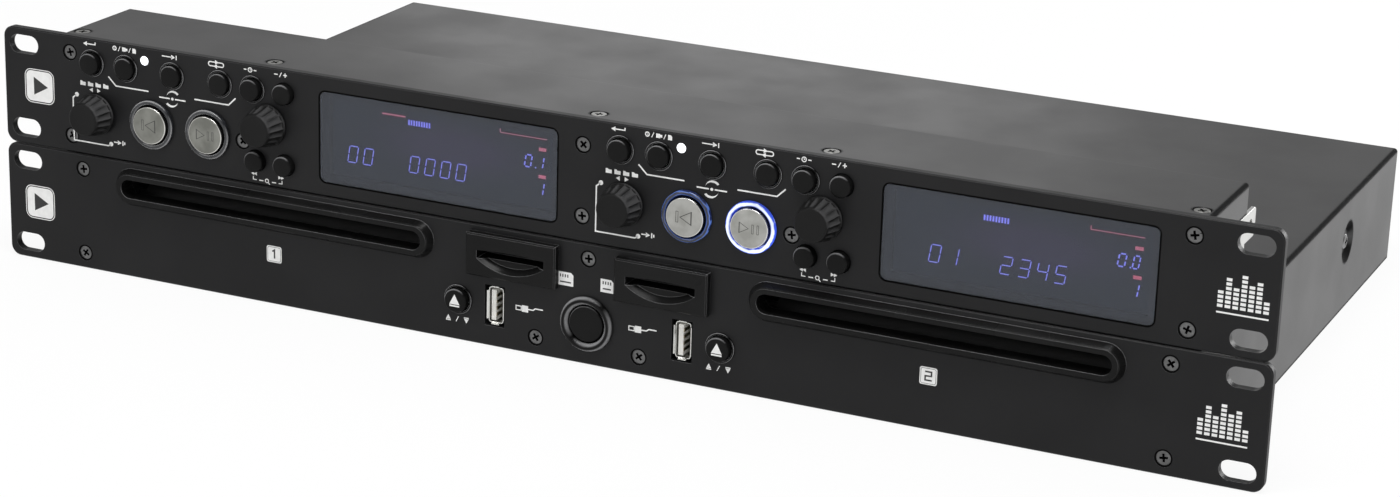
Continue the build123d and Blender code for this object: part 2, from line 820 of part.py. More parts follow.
def turntable(x):
    # a shaft, a platter and a tapered hub that centres the disc
    rim_top, hub_top = hub_low + 1.5, hub_low + 4.1
    profile = [(0, motor_low + 2), (axle_r, motor_low + 2), (axle_r, hub_low), (hub_r, hub_low)]
    profile += [(hub_r, rim_top), (7.4, rim_top), (6.4, hub_top), (0, hub_top)]
    return turned_up(profile, x, hub_depth)


def laser_sled(x):
    # a carriage on the two rods, with the lens on a round turret
    half, deep = sled_half
    top = drive_floor - sheet
    sled = block(x - half, x + half, lens_depth - deep, lens_depth + deep, 14, top)
    sled += turned_up([(0, top - past), (lens_r, top - past), (lens_r, 27.5), (0, 27.5)], x, lens_depth)
    near, far = lens_depth - deep - past, lens_depth + deep + past
    rod_bores = [hole(axle_r + running_gap, x + dx, rod_z, near, far) for dx in (-rod_x, rod_x)]
    return sled - rod_bores


def player_drives():
    save("drive_frames", drive_frame(-drive_x), drive_frame(drive_x))
    for deck, x in {1: -drive_x, 2: drive_x}.items():
        save(f"loading_roller_{deck}", loading_roller(x))
        save(f"turntable_{deck}", turntable(x))
        save(f"laser_sled_{deck}", laser_sled(x))


def player_buttons():
    for deck, x in {1: -eject_x, 2: eject_x}.items():
        save(f"eject_button_{deck}", push_button(x, eject_z, eject_cap_r, eject_proud, plain_cap_edge))
    power = push_button(0, power_z, power_cap_r, power_proud, power_cap_edge, near=power_lug_near)
    save("power_button", power)


# Screws


def panel_screws():
    upper = [panel_screw(x, control_base + z) for x, z in control_screws + control_posts]
    return upper + [panel_screw(x, z) for x, z in player_screws]


def cover_screws():
    top = control_top
    head = top - 0.15
    end, edge = top - screw_end, top - sheet
    profile = [(0, end), (screw_r, end), (screw_r, edge), (2.85, head), (0, head)]
    solids = [turned_up(profile, x, cover_screw_depth) for x in cover_screw_xs]
    for side in (-1, 1):
        floor_x = side * (player_width / 2 - dimple_deep)
        pan = [(-5, 0), (-5, screw_r), (0, screw_r), (0, 3.0), (1.2, 2.5), (1.2, 0)]
        points = [(side * along, radius) for along, radius in pan]
        solids.append(turned_across(points, floor_x, side_screw_depth, side_screw_z))
    return solids


os.makedirs("parts", exist_ok=True)
fixed_pieces = [
    control_front_panel,
    control_chassis,
    control_cover,
    display_windows,
    display_modules,
    light_rings,
    button_bezels,
    indicator_lamps,
    circuit_boards,
    panel_switches,
    link_sockets,
    player_front_panel,
    player_chassis,
    player_cover,
    slot_bezels,
    card_readers,
    usb_sockets,
    usb_tongues,
    push_rings,
    audio_sockets,
    mains_inlet,
    power_supply,
    panel_screws,
    cover_screws,
]
for piece in fixed_pieces:
    made = piece()
    save(piece.__name__, *(made if isinstance(made, list) else [made]))
deck_buttons()
deck_knobs()
player_drives()
player_buttons()
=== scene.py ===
import json
import math
import random

import bmesh
import bpy
from mathutils import Matrix, Vector


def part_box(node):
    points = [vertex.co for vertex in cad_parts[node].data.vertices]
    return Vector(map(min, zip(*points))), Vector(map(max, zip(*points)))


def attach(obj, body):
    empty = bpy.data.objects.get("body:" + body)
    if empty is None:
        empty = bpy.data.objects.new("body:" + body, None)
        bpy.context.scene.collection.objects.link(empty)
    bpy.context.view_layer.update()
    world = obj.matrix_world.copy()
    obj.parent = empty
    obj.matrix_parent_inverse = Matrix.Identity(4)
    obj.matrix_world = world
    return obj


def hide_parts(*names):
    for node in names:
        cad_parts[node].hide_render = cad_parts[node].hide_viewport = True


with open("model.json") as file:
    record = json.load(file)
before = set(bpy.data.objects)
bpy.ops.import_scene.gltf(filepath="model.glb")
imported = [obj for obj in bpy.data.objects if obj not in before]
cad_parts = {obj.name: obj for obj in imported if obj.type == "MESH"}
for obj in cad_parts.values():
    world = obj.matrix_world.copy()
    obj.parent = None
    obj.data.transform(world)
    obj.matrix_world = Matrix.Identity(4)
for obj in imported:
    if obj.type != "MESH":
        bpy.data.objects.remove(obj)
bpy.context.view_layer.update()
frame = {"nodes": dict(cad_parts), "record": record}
print("frame loaded,", len(frame["nodes"]), "nodes")

mm = 0.001
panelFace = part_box("control_front_panel")[0].y
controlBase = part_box("control_front_panel")[0].z / mm
printRoot, printRise = -0.01, 0.03  # a white print runs from just under the paint to just over it, mm
overprint = (0.025, 0.045)  # from and to, for the black ink that lies on a white print
ringedNames = ("back", "source", "single", "repeat", "time")
plainNames = ("pitch", "search_back", "search_forward")
litNames = ("cue", "play")

scene = bpy.context.scene


def spot(node):
    # a node's middle on the panel, and how far it stands proud, in mm
    low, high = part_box(node)
    return (low.x + high.x) / 2 / mm, (low.z + high.z) / 2 / mm, (panelFace - low.y) / mm


def solidMiddles(node):
    # the middle of each separate solid in a node, in metres
    part = frame["nodes"][node]
    corners = [tuple(round(c, 6) for c in part.matrix_world @ v.co) for v in part.data.vertices]
    owner = {corner: corner for corner in corners}

    def root(corner):
        while owner[corner] != corner:
            owner[corner] = owner[owner[corner]]
            corner = owner[corner]
        return corner

    for edge in part.data.edges:
        owner[root(corners[edge.vertices[0]])] = root(corners[edge.vertices[1]])
    groups = {}
    for corner in owner:
        groups.setdefault(root(corner), []).append(corner)
    middles = [Vector([(min(line) + max(line)) / 2 for line in zip(*group)]) for group in groups.values()]
    return sorted(middles, key=lambda at: [round(at[axis], 4) for axis in (0, 2, 1)])


# left edge of each deck's layout, mm
deckLefts = {1: spot("play_button_1")[0] - spot("play_button_2")[0], 2: 0.0}


# Drawing on the panels: x to the right and z up in millimetres, proud is how far out of the face

def place(x, z, proud=0.0):
    return Vector((x * mm, panelFace - proud * mm, z * mm))


def arc(cx, cz, radius, start, end, steps=16):
    turns = [math.radians(start + (end - start) * i / steps) for i in range(steps + 1)]
    return [(cx + radius * math.cos(t), cz + radius * math.sin(t)) for t in turns]


def box(cx, cz, width, height):
    w, h = width / 2, height / 2
    return [(cx - w, cz - h), (cx + w, cz - h), (cx + w, cz + h), (cx - w, cz + h)]


def roundBox(cx, cz, width, height, corner):
    w, h = width / 2 - corner, height / 2 - corner
    points = []
    for sx, sz, start in ((1, -1, -90), (1, 1, 0), (-1, 1, 90), (-1, -1, 180)):
        points += arc(cx + sx * w, cz + sz * h, corner, start, start + 90, 6)
    return points


def triangle(cx, cz, size, turn=0):
    # a solid arrow head that points along +x, turned by whole degrees
    points = [(0.55, 0), (-0.45, 0.55), (-0.45, -0.55)]
    c, s = math.cos(math.radians(turn)), math.sin(math.radians(turn))
    return [(cx + size * (px * c - pz * s), cz + size * (px * s + pz * c)) for px, pz in points]


def stroke(points, width):
    # the outline of a line of that width, with its corners mitred up to a limit
    sides = ([], [])
    last = len(points) - 1
    for i, (x, z) in enumerate(points):
        before = Vector(points[max(i - 1, 0)])
        here, after = Vector((x, z)), Vector(points[min(i + 1, last)])
        a = (here - before).normalized() if i > 0 else (after - here).normalized()
        b = (after - here).normalized() if i < last else a
        along = (a + b).normalized()
        normal = Vector((-along.y, along.x))
        reach = width / 2 / max(0.35, normal.dot(Vector((-a.y, a.x))))
        sides[0].append(tuple(here + normal * reach))
        sides[1].append(tuple(here - normal * reach))
    return sides[1] + sides[0][::-1]


def addFlat(bm, outline, low=printRoot, high=printRise):
    # a thin solid from an outline on the panel
    near = [bm.verts.new(place(x, z, high)) for x, z in outline]
    back = [bm.verts.new(place(x, z, low)) for x, z in outline]
    bm.faces.new(near)
    bm.faces.new(back[::-1])
    for i in range(len(near)):
        j = (i + 1) % len(near)
        bm.faces.new((near[i], back[i], back[j], near[j]))


def addBand(bm, inner, outer, low=printRoot, high=printRise):
    # a thin solid between two closed outlines with the same number of points
    rows = [[bm.verts.new(place(x, z, proud)) for x, z in line]
            for line, proud in ((inner, low), (inner, high), (outer, high), (outer, low))]
    for i in range(len(inner)):
        j = (i + 1) % len(inner)
        for a, b in zip(rows, rows[1:] + rows[:1]):
            bm.faces.new((a[i], a[j], b[j], b[i]))


def addRing(bm, cx, cz, inner, outer, low=printRoot, high=printRise, steps=40):
    full = [arc(cx, cz, r, 0, 360, steps)[:-1] for r in (inner, outer)]
    addBand(bm, *full, low, high)


def addLine(bm, points, width, low=printRoot, high=printRise):
    addFlat(bm, stroke(points, width), low, high)


def addBar(bm, x, z, width, height, low=printRoot, high=printRise):
    addFlat(bm, box(x, z, width, height), low, high)


def addHead(bm, x, z, size, turn=0, low=printRoot, high=printRise):
    addFlat(bm, triangle(x, z, size, turn), low, high)


def addDot(bm, x, z, radius, steps=20):
    addFlat(bm, arc(x, z, radius, 0, 360, steps)[:-1])


def addTurned(bm, profile, x, z, turns=72, closed=False, flute=None):
    # a profile of (radius, proud) points turned about an axis that runs back
    rows = []
    for radius, proud, *weight in profile:
        if radius < 1e-5:
            rows.append([bm.verts.new(place(x, z, proud))])
            continue
        row = []
        for i in range(turns):
            t = 2 * math.pi * i / turns
            r = radius - (flute(t) * weight[0] if weight else 0)
            row.append(bm.verts.new(place(x + r * math.cos(t), z + r * math.sin(t), proud)))
        rows.append(row)
    pairs = list(zip(rows, rows[1:]))
    if closed:
        pairs.append((rows[-1], rows[0]))
    faces = []
    for a, b in pairs:
        for i in range(turns):
            j = (i + 1) % turns
            corners = [a[i], a[j]] if len(a) > 1 else [a[0]]
            corners += [b[j], b[i]] if len(b) > 1 else [b[0]]
            faces.append(bm.faces.new(corners))
    return faces


def finishPiece(name, bm, body, looks, smoothAngle=32):
    bmesh.ops.recalc_face_normals(bm, faces=bm.faces)
    mesh = bpy.data.meshes.new(name)
    bm.to_mesh(mesh)
    bm.free()
    for look in looks if isinstance(looks, list) else [looks]:
        mesh.materials.append(look)
    mesh.shade_smooth()
    mesh.set_sharp_from_angle(angle=math.radians(smoothAngle))
    piece = bpy.data.objects.new(name, mesh)
    scene.collection.objects.link(piece)
    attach(piece, body)
    return piece


# Finishes: a colour is red, green and blue, or one number for a plain grey

def paint(colour):
    return (*colour, 1) if isinstance(colour, tuple) else (colour, colour, colour, 1)


def feed(node, inputs):
    # each input is set to a value, or linked from another node's output
    for socket, value in inputs.items():
        if isinstance(value, bpy.types.NodeSocket):
            node.id_data.links.new(value, node.inputs[socket])
        else:
            node.inputs[socket].default_value = value


def addNode(owner, kind, inputs=None, **settings):
    node = owner.node_tree.nodes.new("ShaderNode" + kind)
    for setting, value in settings.items():
        setattr(node, setting, value)
    feed(node, inputs or {})
    return node


def reckon(owner, operation, *values):
    return addNode(owner, "Math", dict(enumerate(values)), operation=operation).outputs["Value"]


def likeness(owner, first, second):
    # 1 where two directions are the same and 0 where they are square to each other
    return addNode(owner, "VectorMath", {0: first, 1: second}, operation="DOT_PRODUCT").outputs["Value"]


def softNormal(finish, radius, samples=6):
    # the surface's direction as if its edges were rounded, radius in mm
    return addNode(finish, "Bevel", {"Radius": radius * mm}, samples=samples).outputs["Normal"]


def mapped(finish, kind, location=(0, 0, 0), scale=(1, 1, 1)):
    # a piece's own coordinates: Object in metres, or Generated as shares of its box
    where = addNode(finish, "TexCoord").outputs[kind]
    inputs = {"Vector": where, "Location": location, "Scale": scale}
    return addNode(finish, "Mapping", inputs).outputs["Vector"]


def noise(finish, scale, detail=2.0, stretch=(1, 1, 1)):
    inputs = {"Vector": mapped(finish, "Object", scale=stretch), "Scale": scale, "Detail": detail}
    return addNode(finish, "TexNoise", inputs).outputs["Fac"]


def spread(owner, source, low, high, start=0.35, end=0.65):
    # a number that runs from low to high while the source runs from start to end
    inputs = {"Value": source, "From Min": start, "From Max": end, "To Min": low, "To Max": high}
    return addNode(owner, "MapRange", inputs).outputs["Result"]


def addRamp(finish, source, stops):
    # stops are (place along the source, colour)
    ramp = addNode(finish, "ValToRGB", {"Fac": source})
    elements = ramp.color_ramp.elements
    while len(elements) < len(stops):
        elements.new(0.5)
    for element, (at, colour) in zip(elements, stops):
        element.position = at
        element.color = paint(colour)
    return ramp.outputs["Color"]


def tint(finish, shader, source, first, second, start=0.35, end=0.65):
    feed(shader, {"Base Color": addRamp(finish, source, ((start, first), (end, second)))})


def bump(finish, shader, source, strength, distance, edge=0.0):
    # a relief from the source, over edges that are rounded by that many millimetres
    inputs = {"Strength": strength, "Distance": distance * mm, "Height": source}
    if edge:
        inputs["Normal"] = softNormal(finish, edge, 4)
    feed(shader, {"Normal": addNode(finish, "Bump", inputs).outputs["Normal"]})


def feeding(shader, socket):
    return shader.inputs[socket].links[0].from_socket


def edgeGlint(finish, shader, width, tone, way, both=False, kind="rims"):
    # a painted highlight: a lighter tone in the base colour on rims that turn from the front face the given
    # way, on sharp edges, or on the walls themselves
    normal = softNormal(finish, width)
    turned = likeness(finish, normal, way)
    if both:
        turned = reckon(finish, "ABSOLUTE", turned)
    if kind == "walls":
        share = spread(finish, turned, 0.0, 1.0, 0.55, 0.97)
    else:
        if kind == "edges":
            flat = addNode(finish, "NewGeometry").outputs["Normal"]
            share = spread(finish, likeness(finish, normal, flat), 1.0, 0.0, 0.92, 0.995)
        else:
            front = likeness(finish, normal, (0, -1, 0))
            share = reckon(finish, "MULTIPLY", spread(finish, front, 1.0, 0.0, 0.78, 0.97),
                           spread(finish, front, 0.0, 1.0, 0.1, 0.4))
        share = reckon(finish, "MULTIPLY", share, spread(finish, turned, 0.0, 1.0, 0.05, 0.55))
    inputs = {"Factor": share, 6: feeding(shader, "Base Color"), 7: (tone, tone, tone * 1.02, 1)}
    mix = addNode(finish, "Mix", inputs, data_type="RGBA")
    feed(shader, {"Base Color": mix.outputs[2]})


def dullFold(finish, shader):
    # painted shade on the round fold between two sheets: its dark paint turns metallic and rough there, which
    # darkens it
    parts = addNode(finish, "SeparateXYZ", {0: softNormal(finish, 1.6)}).outputs
    fold = reckon(finish, "ABSOLUTE", reckon(finish, "MULTIPLY", parts["X"], parts["Z"]))
    rough = spread(finish, fold, 0.0, 0.95, 0.02, 0.2)
    feed(shader, {"Metallic": spread(finish, fold, 0.0, 1.0, 0.02, 0.25),
                  "Roughness": reckon(finish, "MAXIMUM", feeding(shader, "Roughness"), rough)})


def newFinish(name, colour, roughness, metallic=0.0, specular=0.5):
    finish = bpy.data.materials.new(name)
    finish.use_nodes = True
    shader = finish.node_tree.nodes["Principled BSDF"]
    feed(shader, {"Base Color": paint(colour), "Roughness": roughness, "Metallic": metallic,
                  "Specular IOR Level": specular})
    return finish, shader


def surface(name, colour, second, roughness, grain, depth, metallic=0.0, specular=0.5, edge=0.0,
            stretch=(1, 1, 1), driftScale=28, swing=0.06, strength=0.3, paintedHighlight=None, fold=False):
    # base colour that drifts, uneven roughness and a fine grain in the normal; where asked, a painted
    # highlight on edges and a painted shade on folds
    finish, shader = newFinish(name, colour, roughness, metallic, specular)
    drift = noise(finish, driftScale, 3)
    tint(finish, shader, drift, colour, second)
    low, high = max(0.02, roughness - swing), min(1, roughness + swing)
    feed(shader, {"Roughness": spread(finish, drift, low, high)})
    bump(finish, shader, noise(finish, grain, 3, stretch), strength, depth, edge)
    if paintedHighlight:
        edgeGlint(finish, shader, *paintedHighlight)
    if fold:
        dullFold(finish, shader)
    return finish


def glow(name, colour, strength):
    # a lit surface, a little uneven
    finish, shader = newFinish(name, (0.8, 0.85, 0.9), 0.25)
    uneven = spread(finish, noise(finish, 900), strength * 0.85, strength * 1.1)
    feed(shader, {"Emission Color": paint(colour), "Emission Strength": uneven})
    return finish


def makeWindow():
    # smoked clear plastic, polished, with faint haze
    finish, shader = newFinish("smokedWindow", (0.34, 0.38, 0.46), 0.08)
    feed(shader, {"Transmission Weight": 0.94, "IOR": 1.38,
                  "Roughness": spread(finish, noise(finish, 60, 3), 0.03, 0.07)})
    return finish


def makeTubeFace():
    # the dark glass of the display tube, with a painted glow: it emits its own colour, a purple middle that
    # fades to its grey rim
    finish, shader = newFinish("displayTubePaintedGlow", (0.03, 0.022, 0.06), 0.3, specular=0.2)
    where = mapped(finish, "Generated", (-1.05, 0, -1.1), (1.9, 0, 1.9))
    glowFade = addNode(finish, "TexGradient", {"Vector": where}, gradient_type="QUADRATIC_SPHERE")
    tint(finish, shader, glowFade.outputs["Fac"], (0.008, 0.014, 0.024), (0.060, 0.030, 0.085), 0.0, 0.5)
    feed(shader, {"Emission Color": feeding(shader, "Base Color"), "Emission Strength": 0.35,
                  "Roughness": spread(finish, noise(finish, 90, 3), 0.28, 0.36)})
    return finish


def spunMetal(name, dark, light):
    # a turned satin face: fine rings round its own middle
    finish, shader = newFinish(name, dark, 0.34, 1.0)
    where = mapped(finish, "Generated", (-0.5, 0, -0.5))
    rings = addNode(finish, "TexWave", {"Vector": where, "Scale": 22, "Distortion": 1.2, "Detail": 3},
                    wave_type="RINGS", rings_direction="Y")
    tangent = addNode(finish, "Tangent", direction_type="RADIAL", axis="Y")
    feed(shader, {"Tangent": tangent.outputs["Tangent"], "Anisotropic": 0.55})
    tint(finish, shader, noise(finish, 160, 3), dark, light)
    bump(finish, shader, rings.outputs["Fac"], 0.12, 0.02)
    return finish


def lightGuide(name, bands):
    # a smoked clear ring; bands give the light from its inner to its outer edge
    finish, shader = newFinish(name, (0.02, 0.022, 0.026), 0.12, specular=0.3)
    haze = noise(finish, 300, 3)
    tint(finish, shader, haze, (0.012, 0.013, 0.015), (0.026, 0.028, 0.032))
    feed(shader, {"Coat Weight": 0.5, "Coat Roughness": 0.05, "Roughness": spread(finish, haze, 0.08, 0.2)})
    if not bands:
        # an unlit ring gets a painted highlight on its rims
        edgeGlint(finish, shader, 0.3, 0.3, (-0.6, 0, 0.8), True)
        return finish
    middle = mapped(finish, "Generated", (-1, 0, -1), (2, 0, 2))
    reach = addNode(finish, "VectorMath", {0: middle}, operation="LENGTH").outputs["Value"]
    flecks = spread(finish, noise(finish, 260), -0.025, 0.025, 0.3, 0.7)
    light = addRamp(finish, reckon(finish, "ADD", reach, flecks), bands)
    uneven = spread(finish, noise(finish, 110, 1), 0.55, 1.15)
    feed(shader, {"Emission Color": light, "Emission Strength": uneven})
    return finish


# paintedHighlight paints a lighter tone on edges that face the given way, a painted highlight; fold paints
# shade on the case's folds
finishes = {
    "panel_paint": surface("panelPaint", (0.0085, 0.0085, 0.009), (0.0115, 0.0115, 0.012), 0.42, 2600, 0.02,
                           specular=0.17, edge=0.25, swing=0.04,
                           paintedHighlight=(0.25, 0.12, (0.45, 0, 0.89), False, "edges")),
    "case_paint": surface("casePaint", (0.009, 0.009, 0.0095), (0.013, 0.013, 0.0135), 0.37, 2200, 0.03,
                          edge=0.3, swing=0.03, strength=0.4, fold=True),
    "bare_steel": surface("bareSteel", (0.6, 0.6, 0.59), (0.68, 0.68, 0.66), 0.30, 900, 0.01, metallic=1.0,
                          edge=0.3, stretch=(0.08, 1, 1), driftScale=90, swing=0.02),
    "window_glass": makeWindow(),
    "display_tube": surface("moduleBlack", (0.012, 0.011, 0.014), (0.02, 0.018, 0.024), 0.5, 1500, 0.02),
    "ring_clear": lightGuide("ringUnlit", ()),
    "cap_metal": spunMetal("satinCap", (0.31, 0.31, 0.29), (0.42, 0.42, 0.40)),
    "cap_black": surface("capBlack", 0.0045, 0.007, 0.34, 3000, 0.01, specular=0.10, edge=0.2,
                         paintedHighlight=(0.35, 0.16, (-0.6, 0, 0.8))),
    "ring_black": surface("ringBlack", 0.003, 0.005, 0.16, 2500, 0.005, specular=0.12,
                          paintedHighlight=(0.3, 0.22, (-0.75, 0, 0.66), True)),
    "knob_black": surface("knobRubber", 0.007, 0.011, 0.5, 3500, 0.02, specular=0.12,
                          paintedHighlight=(0.25, 0.06, (0.8, 0, 0.6), False, "walls")),
    "spindle_steel": surface("spindleSteel", (0.55, 0.55, 0.54), (0.62, 0.62, 0.6), 0.25, 1500, 0.01,
                             metallic=1.0, stretch=(1, 0.1, 1)),
    "board_green": surface("boardGreen", (0.012, 0.09, 0.035), (0.02, 0.13, 0.05), 0.3, 700, 0.03, edge=0.1),
    "switch_black": surface("switchBlack", 0.02, 0.03, 0.45, 1800, 0.02),
    "screw_black": surface("blackZinc", 0.10, 0.15, 0.34, 1800, 0.01, metallic=0.7, driftScale=500,
                           paintedHighlight=(0.2, 0.3, (-0.5, 0, 0.86), True)),
    "screw_zinc": surface("brightZinc", (0.24, 0.24, 0.23), (0.34, 0.34, 0.32), 0.3, 1500, 0.01, metallic=1.0,
                          driftScale=400),
    "lip_black": surface("lipBlack", 0.005, 0.008, 0.26, 2800, 0.015, specular=0.12, edge=0.25,
                         paintedHighlight=(0.35, 0.2, (0.5, 0, 0.86), False, "edges")),
    "socket_steel": surface("socketNickel", (0.66, 0.66, 0.64), (0.74, 0.74, 0.71), 0.2, 1200, 0.01,
                            metallic=1.0, edge=0.12, driftScale=300),
    "tongue_white": surface("tongueWhite", (0.70, 0.69, 0.65), (0.78, 0.77, 0.73), 0.4, 1600, 0.01,
                            driftScale=300),
    "jack_metal": surface("jackNickel", (0.62, 0.60, 0.55), (0.72, 0.70, 0.64), 0.24, 1400, 0.01,
                          metallic=1.0, edge=0.12, driftScale=300),
    "inlet_black": surface("inletBlack", 0.012, 0.02, 0.38, 1700, 0.02, edge=0.15),
    "supply_parts": surface("supplyParts", (0.10, 0.09, 0.06), (0.2, 0.19, 0.15), 0.5, 500, 0.05),
    "drive_steel": surface("driveSteel", (0.42, 0.43, 0.44), (0.5, 0.51, 0.52), 0.34, 800, 0.01, metallic=1.0,
                           stretch=(1, 0.1, 1)),
    "roller_rubber": surface("rollerRubber", 0.012, 0.02, 0.75, 2500, 0.05),
    "hub_plastic": surface("hubPlastic", (0.015, 0.015, 0.016), (0.025, 0.025, 0.026), 0.4, 1800, 0.02),
    "sled_plastic": surface("sledPlastic", (0.02, 0.02, 0.024), (0.035, 0.035, 0.04), 0.5, 1800, 0.03),
    "lamp_white": glow("lampLit", (0.95, 0.97, 1.0), 1.6),
}
whiteInk = surface("whiteInk", (0.74, 0.74, 0.73), (0.80, 0.80, 0.79), 0.5, 2500, 0.01, driftScale=500)
blackInk = surface("blackInk", 0.01, 0.016, 0.45, 2500, 0.01)
glowingTubeFace = makeTubeFace()
segmentBlue = glow("segmentBlue", (0.24, 0.20, 0.95), 2.1)
segmentRed = glow("segmentRed", (0.75, 0.04, 0.08), 1.5)
polishedBevel = surface("polishedBevel", (0.62, 0.61, 0.58), (0.7, 0.69, 0.66), 0.1, 1500, 0.004,
                        metallic=1.0, swing=0.03)
engraving = surface("engraving", (0.05, 0.05, 0.048), (0.09, 0.09, 0.085), 0.5, 2000, 0.01, metallic=0.6)
# deck 1's caps take a darker copy of the same satin metal
darkerCap = spunMetal("darkerSatinCap", (0.17, 0.172, 0.155), (0.25, 0.252, 0.23))
# near black for the window gaskets, and painted shade in the screws' cross recesses and over their
# countersinks
deepBlack = surface("deepBlack", 0.0015, 0.0025, 0.6, 2500, 0.01, specular=0.03)
capWall = surface("capWall", 0.006, 0.01, 0.3, 2500, 0.01, specular=0.2)
ringLitWhite = lightGuide("ringLitWhite", ((0.83, (0.02, 0.05, 0.55)), (0.865, (0.7, 0.8, 1.3)),
                                           (0.90, (1.3, 1.4, 1.6)), (0.955, (1.1, 1.25, 1.6)),
                                           (0.985, (0.05, 0.12, 0.95))))
ringLitBlue = lightGuide("ringLitBlue", ((0.83, (0.004, 0.01, 0.04)), (0.865, (0.05, 0.10, 0.34)),
                                         (0.89, (0.002, 0.003, 0.01)), (0.95, (0.003, 0.008, 0.04)),
                                         (0.98, (0.10, 0.20, 0.62)), (0.998, (0.004, 0.012, 0.07))))
goldContact = surface("goldContact", (0.30, 0.26, 0.18), (0.36, 0.32, 0.22), 0.3, 1500, 0.005, metallic=1.0)
print("finishes made")

for part in frame["record"]["subparts"]:
    node = frame["nodes"][part["node"]]
    finish = finishes[part["material_slot"]]
    node.data.materials.clear()
    node.data.materials.append(finish)


# Knobs: a soft front edge and round flutes that run out before the skirt

knobShape = {"flutes": 18, "fluteDepth": 0.62, "turns": 216, "frontR": 6.15, "skirtR": 7.75, "reach": 9.5,
             "edge": 0.9, "lip": 0.15, "skirtDeep": 1.3, "runIn": 3.2, "trackBack": 1.0, "pitchBack": 0.5,
             "shaftR": 3.0, "shaftEnd": -13.5, "socketEnd": 8.2}


def makeKnob(name, node, back, hasShaft):
    x, z = spot(node)[:2]

    def flute(t):
        return knobShape["fluteDepth"] * abs(math.sin(knobShape["flutes"] * t / 2)) ** 0.7

    shape = knobShape
    reach, front, skirt, edge, lip = (shape[key] for key in ("reach", "frontR", "skirtR", "edge", "lip"))
    rows = [(0, reach - 0.12), (3.0, reach - 0.10), (front - 1.1, reach - 0.02, 0.0)]
    for step in range(7):  # the front edge turns over into the side
        t = math.radians(90 * step / 6)
        rows.append((front - edge + edge * math.sin(t), reach - edge + edge * math.cos(t), lip * step / 6))
    low = back + shape["skirtDeep"]
    for step in range(1, 11):
        share = step / 10
        rows.append((front + (skirt - lip - front) * share, reach - edge + (low - reach + edge) * share,
                     min(1, lip + share * shape["runIn"]) if share < 0.9 else 0.55))
    rows += [(skirt, low - 0.25, 0.0), (skirt, back + lip, 0.0), (skirt - lip, back, 0.0)]
    shaft = shape["shaftR"] + (0 if hasShaft else 0.05)
    end = shape["shaftEnd" if hasShaft else "socketEnd"]
    rows += [(shaft, back, 0.0), (shaft, end, 0.0), (0, end)]
    bm = bmesh.new()
    addTurned(bm, rows, x, z, shape["turns"], flute=flute)
    piece = finishPiece(name, bm, node, finishes["knob_black"], 40)
    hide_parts(node)


for deck in deckLefts:
    makeKnob(f"trackKnobGrip{deck}", f"track_knob_{deck}", knobShape["trackBack"], False)
    makeKnob(f"pitchKnobGrip{deck}", f"pitch_knob_{deck}", knobShape["pitchBack"], True)
print("knobs made")


# Buttons: turned caps with soft edges, on the stem and lugs of the solid ones

buttonShape = {"lugDeep": 1.0, "lugTall": 3.0, "lugReach": 2.2, "stemWide": 2.6, "turns": 96}


def makeCap(node, radius, soft, looks, crown=0.12, stemEnd=9.0, lugNear=3.3, rim=None):
    x, z, proud = spot(node)
    bm = bmesh.new()
    face = rim or radius  # a metal cap's face is a little smaller than the body that guides it
    flatR = face - soft
    rows = [(0, proud), (flatR * 0.5, proud - crown * 0.2), (flatR, proud - crown)]
    for step in range(1, 9):
        t = math.radians(90 * step / 8)
        rows.append((flatR + soft * math.sin(t), proud - crown - soft + soft * math.cos(t)))
    if rim:
        rows.append((face, 0.4))
    lugEnd = lugNear + buttonShape["lugDeep"]
    rows += [(radius, -0.2 if rim else -lugEnd), (radius, -lugEnd), (0, -lugEnd)]
    faces = addTurned(bm, rows, x, z, buttonShape["turns"])
    if rim:
        for side in faces:
            if min((v.co - place(x, z, 0)).xz.length for v in side.verts) >= (flatR - 0.01) * mm:
                deep = max(v.co.y for v in side.verts) > place(x, z, proud - crown - soft - 0.05).y
                side.material_index = 2 if deep else 1
    addBar(bm, x, z, 2 * radius + buttonShape["lugReach"], buttonShape["lugTall"], -lugEnd, -lugNear)
    addBar(bm, x, z, buttonShape["stemWide"], buttonShape["stemWide"], -stemEnd, -lugEnd)
    piece = finishPiece(node + "_cap", bm, node, looks)
    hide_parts(node)


blackCap = [finishes["cap_black"]]
for deck in deckLefts:
    for name in ringedNames:
        makeCap(f"{name}_button_{deck}", 4.0, 0.6, blackCap)
    for name in plainNames:
        makeCap(f"{name}_button_{deck}", 3.8, 0.8, blackCap, 0.25)
    for name in litNames:
        looks = [finishes["cap_metal"] if deck == 2 else darkerCap, polishedBevel, capWall]
        makeCap(f"{name}_button_{deck}", 7.25, 0.3, looks, 0.05, 8.5, rim=6.95)
    makeCap(f"eject_button_{deck}", 4.35, 0.7, blackCap)
makeCap("power_button", 6.5, 0.5, blackCap, 0.05, 9.0, 4.6)


# Rings round the buttons

def ringProfile(inner, outer, proud, back):
    # a barrel through the panel with a rounded lip
    half = (outer - inner) / 2
    rows = [(inner, -back), (outer, -back)]
    for step in range(13):
        t = math.radians(180 * step / 12)
        rows.append((inner + half + half * math.cos(t), proud - half * 0.8 + half * 0.8 * math.sin(t)))
    return rows


